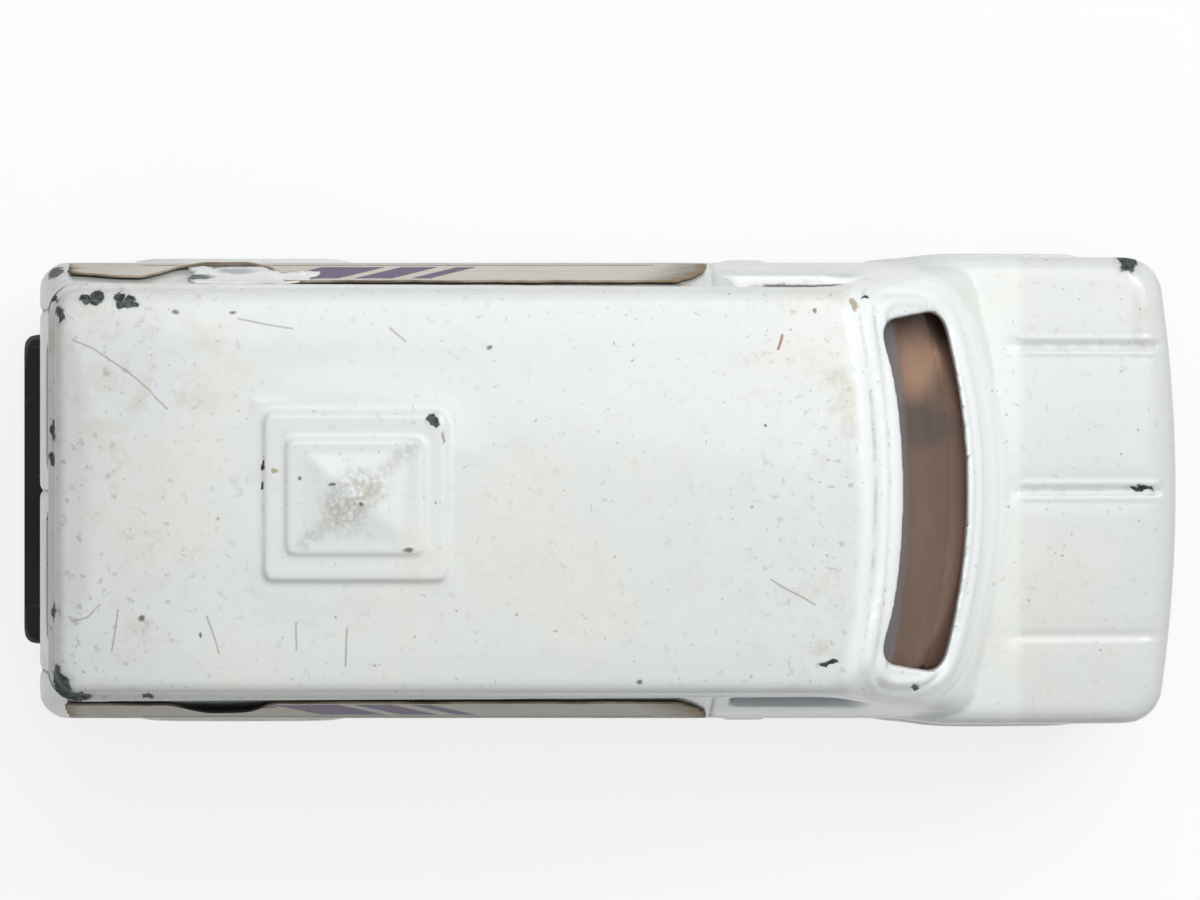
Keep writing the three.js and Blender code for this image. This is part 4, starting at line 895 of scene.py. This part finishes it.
def edge_mean(ends, at_first, at_second, count):
    """For each point, the mean over its edges of what each has at its first or its second end."""
    first, second = ends
    total = np.bincount(first, at_first, count) + np.bincount(second, at_second, count)
    return total / np.maximum(np.bincount(ends.ravel(), minlength=count), 1)


def beside(ends, values):
    """For each point, the mean of a value over the points it shares an edge with."""
    first, second = ends
    return edge_mean(ends, values[second], values[first], len(values))


def ramp(values, low, high):
    share = np.clip((values - low) / (high - low), 0, 1)
    return share * share * (3 - 2 * share)


# How many times the front's surface is drawn smooth
CALM_ROUNDS = 45


def front_relief(x, y, z):
    """Height of the bead and border round the windscreen, and of the hood's lines with their soft lips."""
    gap, ahead = outside_windscreen(x, y, np.maximum, np.hypot)
    bead = ramp(abs(gap - 0.42), 0.46, 0.04)
    width = 0.8 + 0.9 * ramp(ahead, -0.5, 2.0)
    border = ramp(gap, 0.86, 1.2) * ramp(gap - width, 0.9, 0.4)
    relief = (0.14 * bead + 0.11 * border) * ramp(z, 16.4, 17.2)
    hood = over_hood(ramp, x, z)
    for side, depth in HOOD_LINES:
        away = abs(y - side)
        lips = ramp(abs(away - 0.46), 0.26, 0.02)
        relief += depth * hood * (0.5 * lips - ramp(away, 0.34, 0.06))
    return relief


def calm_front(mesh):
    """Draws the hood and the windscreen's surround smooth, then raises their relief."""
    points = vertex_values(mesh, "co") / MM
    x, y, z = points.T
    gap, ahead = outside_windscreen(x, y, np.maximum, np.hypot)
    surround = ramp(gap, 0.25, 0.8) * ramp(gap, 4.5, 3.0) * ramp(z, 18.0, 19.0)
    hood = ramp(x, 25.0, 26.5) * ramp(x, 36.3, 35.3) * ramp(abs(y), 11.5, 10.5) * ramp(z, 12.5, 13.5)
    under_rear = ramp(vertex_values(mesh, "normal")[:, 2], 0.3, 0.0) * ramp(ahead, 0.6, 0.0)
    rim = ramp(gap, -0.6, -0.3) * ramp(gap, 2.5, 1.5) * ramp(z, 20.0, 21.0) * under_rear
    hold = np.maximum.reduce([surround, hood, rim]) * 0.6
    ends = edge_ends(mesh)
    for _ in range(CALM_ROUNDS):
        mean = np.column_stack([beside(ends, coordinate) for coordinate in points.T])
        points += hold[:, None] * (mean - points)
    set_points(mesh, points)
    normals = vertex_values(mesh, "normal")
    raised = front_relief(*points.T) * ramp(normals[:, 2], 0.2, 0.5)
    set_points(mesh, points + raised[:, None] * normals)
    return mesh


def body_mesh():
    voxel, rounds, triangles = SKINS["body_shell"]
    skin = skinned([solid_copy("body_shell")], voxel, rounds)
    return thinned(calm_front(calm_roof(skin)), triangles)


def mark_edges(mesh):
    """Stores how sharply the surface turns, per millimetre: above zero on edges, below it in creases."""
    points = vertex_values(mesh, "co") / MM
    normals = vertex_values(mesh, "normal")
    ends = edge_ends(mesh)
    first, second = ends
    step = points[first] - points[second]
    turn = normals[first] - normals[second]
    bends = (turn * step).sum(1) / np.maximum((step * step).sum(1), 1e-9)
    bend = edge_mean(ends, bends, bends, len(points))
    for _ in range(3):
        bend = (bend + beside(ends, bend)) / 2
    mesh.attributes.new("edge_wear", "FLOAT", "POINT").data.foreach_set("value", bend)


def lathe(profile, steps, centre):
    """A closed ring about the y axis from a profile of radius and y."""
    shape = bmesh.new()
    rings = []
    for i in range(steps):
        angle = math.tau * i / steps
        places = [(r * math.cos(angle), y, r * math.sin(angle)) for r, y in profile]
        rings.append([shape.verts.new((Vector(place) + centre) * MM) for place in places])
    for i, ring in enumerate(rings):
        after = rings[(i + 1) % steps]
        for j in range(len(profile)):
            k = (j + 1) % len(profile)
            shape.faces.new((ring[j], ring[k], after[k], after[j]))
    bmesh.ops.recalc_face_normals(shape, faces=shape.faces)
    return mesh_of(shape)


def moved(mesh, offset):
    mesh.transform(Matrix.Translation(Vector(offset) * MM))
    return mesh


def solid_copy(node):
    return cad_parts[node].data.copy()


def middle(node):
    low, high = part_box(node)
    return (low + high) / 2 / MM


def add_piece(name, mesh, material, body, node):
    mesh.materials.clear()
    mesh.materials.append(material)
    piece = placed(name, mesh)
    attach(piece, body)
    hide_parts(node)


def tyre_mesh(node, tread, rubber):
    """A tyre with a moulded side ring and two staggered rows of tread blocks."""
    centre = middle(node)
    half = [(3.56, 1.7), (3.68, 1.92), (4.05, 2.0), (4.2, 1.9), (4.62, 1.9), (4.75, 1.98), (5.02, 1.88)]
    half += [(5.22, 1.68), (5.32, 1.35)]
    profile = [(r, -y) for r, y in half] + [(r, y) for r, y in reversed(half)]
    forms = [lathe(profile, 72, centre)]
    for row, along in enumerate((-0.88, 0.88)):
        block = (0.52 * MM, 1.5 * MM, 0.56 * MM)
        ring = tread.mesh(rubber, Count=34, Radius=5.24 * MM, Along=along * MM, Turn=row / 2, Block=block)
        forms.append(moved(ring, centre))
    return moulded(forms, "tyre")


def rim_mesh(node, side, nuts, bright):
    """The pierced hub with six small nuts round its boss."""
    along = side * 1.3 * MM
    ring = nuts.mesh(bright, Count=6, Radius=1.95 * MM, Along=along, Nut=0.27 * MM, Height=0.5 * MM)
    return moulded([solid_copy(node), moved(ring, middle(node))], "rim")


def grille_mesh(rows, bright):
    """The plated insert with ribbed lenses in raised rings."""
    forms = [solid_copy("grille")]
    low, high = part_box("grille")
    face = high.x / MM
    lamp_z = (low.z + high.z) / 2 / MM
    for side in (-1, 1):
        lamp = Vector((face, side * 7.8, lamp_z))
        ring = lathe([(1.38, -0.3), (1.7, -0.3), (1.7, 0.14), (1.54, 0.22), (1.38, 0.14)], 40, Vector())
        ring.transform(Matrix.Rotation(-math.pi / 2, 4, "Z"))
        forms.append(moved(ring, lamp))
        first = (lamp - Vector((0, 0.84, 0))) * MM
        bar = (0.3 * MM, 0.16 * MM, 1.9 * MM)
        forms.append(rows.mesh(bright, Count=5, First=first, Step=(0, 0.42 * MM, 0), Bar=bar, Lean=0.0))
    return moulded(forms, "grille")


# Pleats of the seats' backs and cushions: place, size and lean
SEAT_PLEATS = [(9.25, 17.6, (0.6, 0.62, 4.4), -0.13), (12.0, 12.75, (3.0, 0.62, 0.6), -0.1)]

# How far the dash runs forward of the solid's
DASH_REACH = 1.5


def interior_mesh(rows, brown):
    """Floor, seats and a dash that runs forward under the glass, with pleats across the seats."""
    forms = [solid_copy("interior")]
    for side in (-1, 1):
        for x, z, size, lean in SEAT_PLEATS:
            first = Vector((x, side * 4.9 - 2.5, z)) * MM
            bar = Vector(size) * MM
            forms.append(rows.mesh(brown, Count=6, First=first, Step=(0, MM, 0), Bar=bar, Lean=lean))
    cabin = moulded(forms, "interior")
    points = vertex_values(cabin, "co") / MM
    points[:, 0] += DASH_REACH * ramp(points[:, 0], 19.0, 21.5) * ramp(points[:, 2], 13.0, 15.0)
    set_points(cabin, points)
    return cabin


def broken(at, seed, size, reach):
    """A torn outline's wander at a place along it."""
    wide = noise.noise(Vector((at / size, seed, 0)))
    narrow = noise.noise(Vector((at * 3.7 / size, seed + 9, 0)))
    return reach * (wide + 0.45 * narrow)


def within(x, rise, fall):
    return ramp(x, *rise) * (1 - ramp(x, *fall))


def left_top(x):
    """Top edge of the left label: low at its rear, torn far down behind that, then near the gutter."""
    whole = 20.9 + 1.7 * ramp(x, -32.5, -27.5) + 1.8 * ramp(x, -20.4, -18.6)
    tear = within(x, (-27.6, -25.2), (-19.8, -18.4))
    return whole - 4.1 * tear + broken(x, 3.0, 2.4, 0.24)


def left_lift(x, from_top):
    pocket = within(x, (-26.0, -23.5), (-21.6, -19.4))
    return 0.3 * pocket * (1 - ramp(from_top, 0, 1.6)) + 0.06 * (1 - ramp(from_top, 0, 0.8))


def right_top(x):
    tear = within(x, (-26.2, -24.6), (-20.6, -18.6))
    return 23.3 + 0.8 * ramp(x, -26, -18) - 0.9 * tear + broken(x, 5.0, 2.6, 0.2)


def right_lift(x, from_top):
    pocket = within(x, (-25.8, -23.0), (-21.4, -18.8))
    return 0.4 * pocket * (1 - ramp(from_top, 0, 2.0)) + 0.05 * (1 - ramp(from_top, 0, 0.8))


def paper_sheet(shape, side, seed, ends, low_edge, high_edge, lift, torn, cells):
    """Adds a ragged sheet on the leaning side: its ends, its edges, how it lifts and if it is bare."""
    margin = shape.verts.layers.float["margin"]
    bare = shape.verts.layers.float["torn"]
    columns, rows = cells
    grid = []
    for i in range(columns + 1):
        column = []
        for j in range(rows + 1):
            u, v = i / columns, j / rows
            x_rear = ends[0] + 0.5 * v + broken(v * 8, seed, 2.2, 0.35)
            x_front = ends[1] - 1.9 * v * v + broken(v * 8, seed + 4, 2.0, 0.3)
            x = x_rear + u * (x_front - x_rear)
            low, high = low_edge(x), high_edge(x)
            z = low + v * (high - low)
            wall = BELT_HALF_WIDTH - SIDE_LEAN * (z - BELT_HEIGHT)
            y = side * (wall + LABEL_GAP + lift(x, high - z))
            point = shape.verts.new(Vector((x, y, z)) * MM)
            point[margin] = min(x - x_rear, x_front - x, z - low, high - z)
            point[bare] = torn
            column.append(point)
        grid.append(column)
    for i in range(columns):
        for j in range(rows):
            corners = (grid[i][j], grid[i + 1][j], grid[i + 1][j + 1], grid[i][j + 1])
            shape.faces.new(corners if side < 0 else corners[::-1])


def label_mesh(side, top, lift, seed):
    """A paper label, ragged all round and lifting where it is torn; the left one keeps a bare flap."""
    shape = bmesh.new()
    for layer in ("margin", "torn"):
        shape.verts.layers.float.new(layer)

    def bottom(x):
        return LABEL_BOTTOM + broken(x, seed + 7, 3.0, 0.1)

    paper_sheet(shape, side, seed, LABEL_ENDS, bottom, top, lift, 0.0, (260, 34))
    if side > 0:

        def flap_bottom(x):
            return 21.9 + 0.9 * ramp(x, -20.5, -18.8) + broken(x, seed + 2, 0.9, 0.7)

        def flap_top(x):
            return 24.75 + broken(x, seed + 5, 1.5, 0.15)

        def flap_lift(x, from_top):
            return 0.03 + 0.5 * ramp(from_top, 0.4, 2.6) + broken(x, seed + 6, 1.2, 0.06)

        paper_sheet(shape, side, seed + 3, FLAP_ENDS, flap_bottom, flap_top, flap_lift, 1.0, (70, 14))
    carrier = placed("carrier", mesh_of(shape))
    sheet = carrier.modifiers.new("thickness", "SOLIDIFY")
    sheet.thickness = LABEL_THICKNESS * MM
    sheet.offset = 1
    result = taken(carrier)
    result.shade_smooth()
    return result


def build_van():
    enamel = chipped_enamel()
    clear = smoked_clear()
    brown = brown_moulding()
    black = black_moulding()
    bright = worn_plating()
    steel = drawn_steel()
    rubber = scuffed_tyre()
    paper = aged_paper()
    tread = ring_pattern()
    nuts = nut_pattern()
    rows = row_pattern()

    add_piece("painted_body", body_mesh(), enamel, "van", "body_shell")
    glass = moulded([solid_copy("glazing")], "glazing")
    add_piece("tinted_glazing", glass, clear, "van", "glazing")
    cabin = interior_mesh(rows, brown)
    add_piece("seats_and_dash", cabin, brown, "van", "interior")
    wheel = moulded([solid_copy("steering_wheel")], "steering_wheel")
    add_piece("driving_wheel", wheel, black, "van", "steering_wheel")
    base = moulded([solid_copy("base_plate")], "base_plate")
    add_piece("moulded_base", base, black, "van", "base_plate")
    front = grille_mesh(rows, bright)
    add_piece("plated_grille", front, bright, "van", "grille")
    left = label_mesh(1, left_top, left_lift, 11.0)
    add_piece("torn_left_label", left, paper, "van", "left_label")
    right = label_mesh(-1, right_top, right_lift, 23.0)
    add_piece("torn_right_label", right, paper, "van", "right_label")

    for end in ("front", "rear"):
        axle = moulded([solid_copy(f"{end}_axle")], "axle")
        add_piece(f"{end}_steel_axle", axle, steel, f"{end}_axle_body", f"{end}_axle")
        keeper = moulded([solid_copy(f"{end}_axle_keeper")], "keeper")
        add_piece(f"{end}_keeper_bar", keeper, black, "van", f"{end}_axle_keeper")
        for hand, side in (("left", 1), ("right", -1)):
            wheel_body = f"{end}_{hand}_wheel"
            hub = rim_mesh(f"{end}_{hand}_rim", side, nuts, bright)
            add_piece(f"{end}_{hand}_hub", hub, bright, wheel_body, f"{end}_{hand}_rim")
            ring = tyre_mesh(f"{end}_{hand}_tyre", tread, rubber)
            add_piece(f"{end}_{hand}_treaded_tyre", ring, rubber, wheel_body, f"{end}_{hand}_tyre")


def background_share(nodes):
    """1 for rays that should see the plain pale background instead of its light."""
    rays = nodes.node("ShaderNodeLightPath", out="Is Camera Ray")
    names = ("Is Glossy Ray", "Is Transmission Ray")
    return reduce(Value.__or__, [Value(nodes, rays.socket.node.outputs[name]) for name in names], rays)


def build_floor():
    mesh = bpy.data.meshes.new("floor")
    mesh.from_pydata([(-2, -2, 0), (2, -2, 0), (2, 2, 0), (-2, 2, 0)], [], [(0, 1, 2, 3)])
    material = bpy.data.materials.new("pale_floor")
    material.use_nodes = True
    nodes = Nodes(material.node_tree)
    nodes.tree.nodes.remove(nodes.tree.nodes["Principled BSDF"])
    lit = nodes.node("ShaderNodeBsdfDiffuse", {"Color": (1, 1, 1, 1)})
    glow = nodes.node("ShaderNodeEmission", {"Color": (1, 1, 1, 1), "Strength": 1})
    shown = nodes.node("ShaderNodeMixShader", {0: 0.8, 1: lit, 2: glow})
    bounce = nodes.node("ShaderNodeBsdfDiffuse", {"Color": (0.27, 0.27, 0.27, 1)})
    above = nodes.node("ShaderNodeMixShader", {0: background_share(nodes), 1: bounce, 2: shown})
    below = nodes.node("ShaderNodeNewGeometry", out="Backfacing")
    clear = nodes.node("ShaderNodeBsdfTransparent")
    surface = nodes.node("ShaderNodeMixShader", {0: below, 1: above, 2: clear})
    nodes.fill(nodes.tree.nodes["Material Output"], {"Surface": surface})
    mesh.materials.append(material)
    placed("floor", mesh)


def add_lamp(name, size, power, place):
    """A round soft lamp turned to the van."""
    light = bpy.data.lights.new(name, "AREA")
    light.shape = "DISK"
    light.size = size
    light.energy = power
    lamp = placed(name, light)
    lamp.location = place
    lamp.rotation_euler = lamp.location.to_track_quat("Z", "Y").to_euler()


def build_light():
    world = bpy.data.worlds.new("pale_room")
    world.use_nodes = True
    bpy.context.scene.world = world
    nodes = Nodes(world.node_tree)
    sky = nodes.tree.nodes["Background"]
    strength = background_share(nodes) * 0.64 + 0.36
    nodes.fill(sky, {"Color": (1, 1, 1, 1), "Strength": strength})
    add_lamp("soft_key", size=0.4, power=1.04, place=(0.105, 0.175, 0.35))
    add_lamp("small_glint", size=0.04, power=0.2, place=(0.25, 0.16, 0.335))


def build_camera():
    lens = bpy.data.cameras.new("above")
    lens.sensor_width = 36
    lens.lens = 126.39
    lens.clip_start = 0.01
    camera = placed("above", lens)
    camera.location = (0.0006, 0.00254, 0.28)
    bpy.context.scene.camera = camera


build_van()
build_floor()
build_light()
build_camera()
bpy.context.scene.view_settings.view_transform = "Standard"
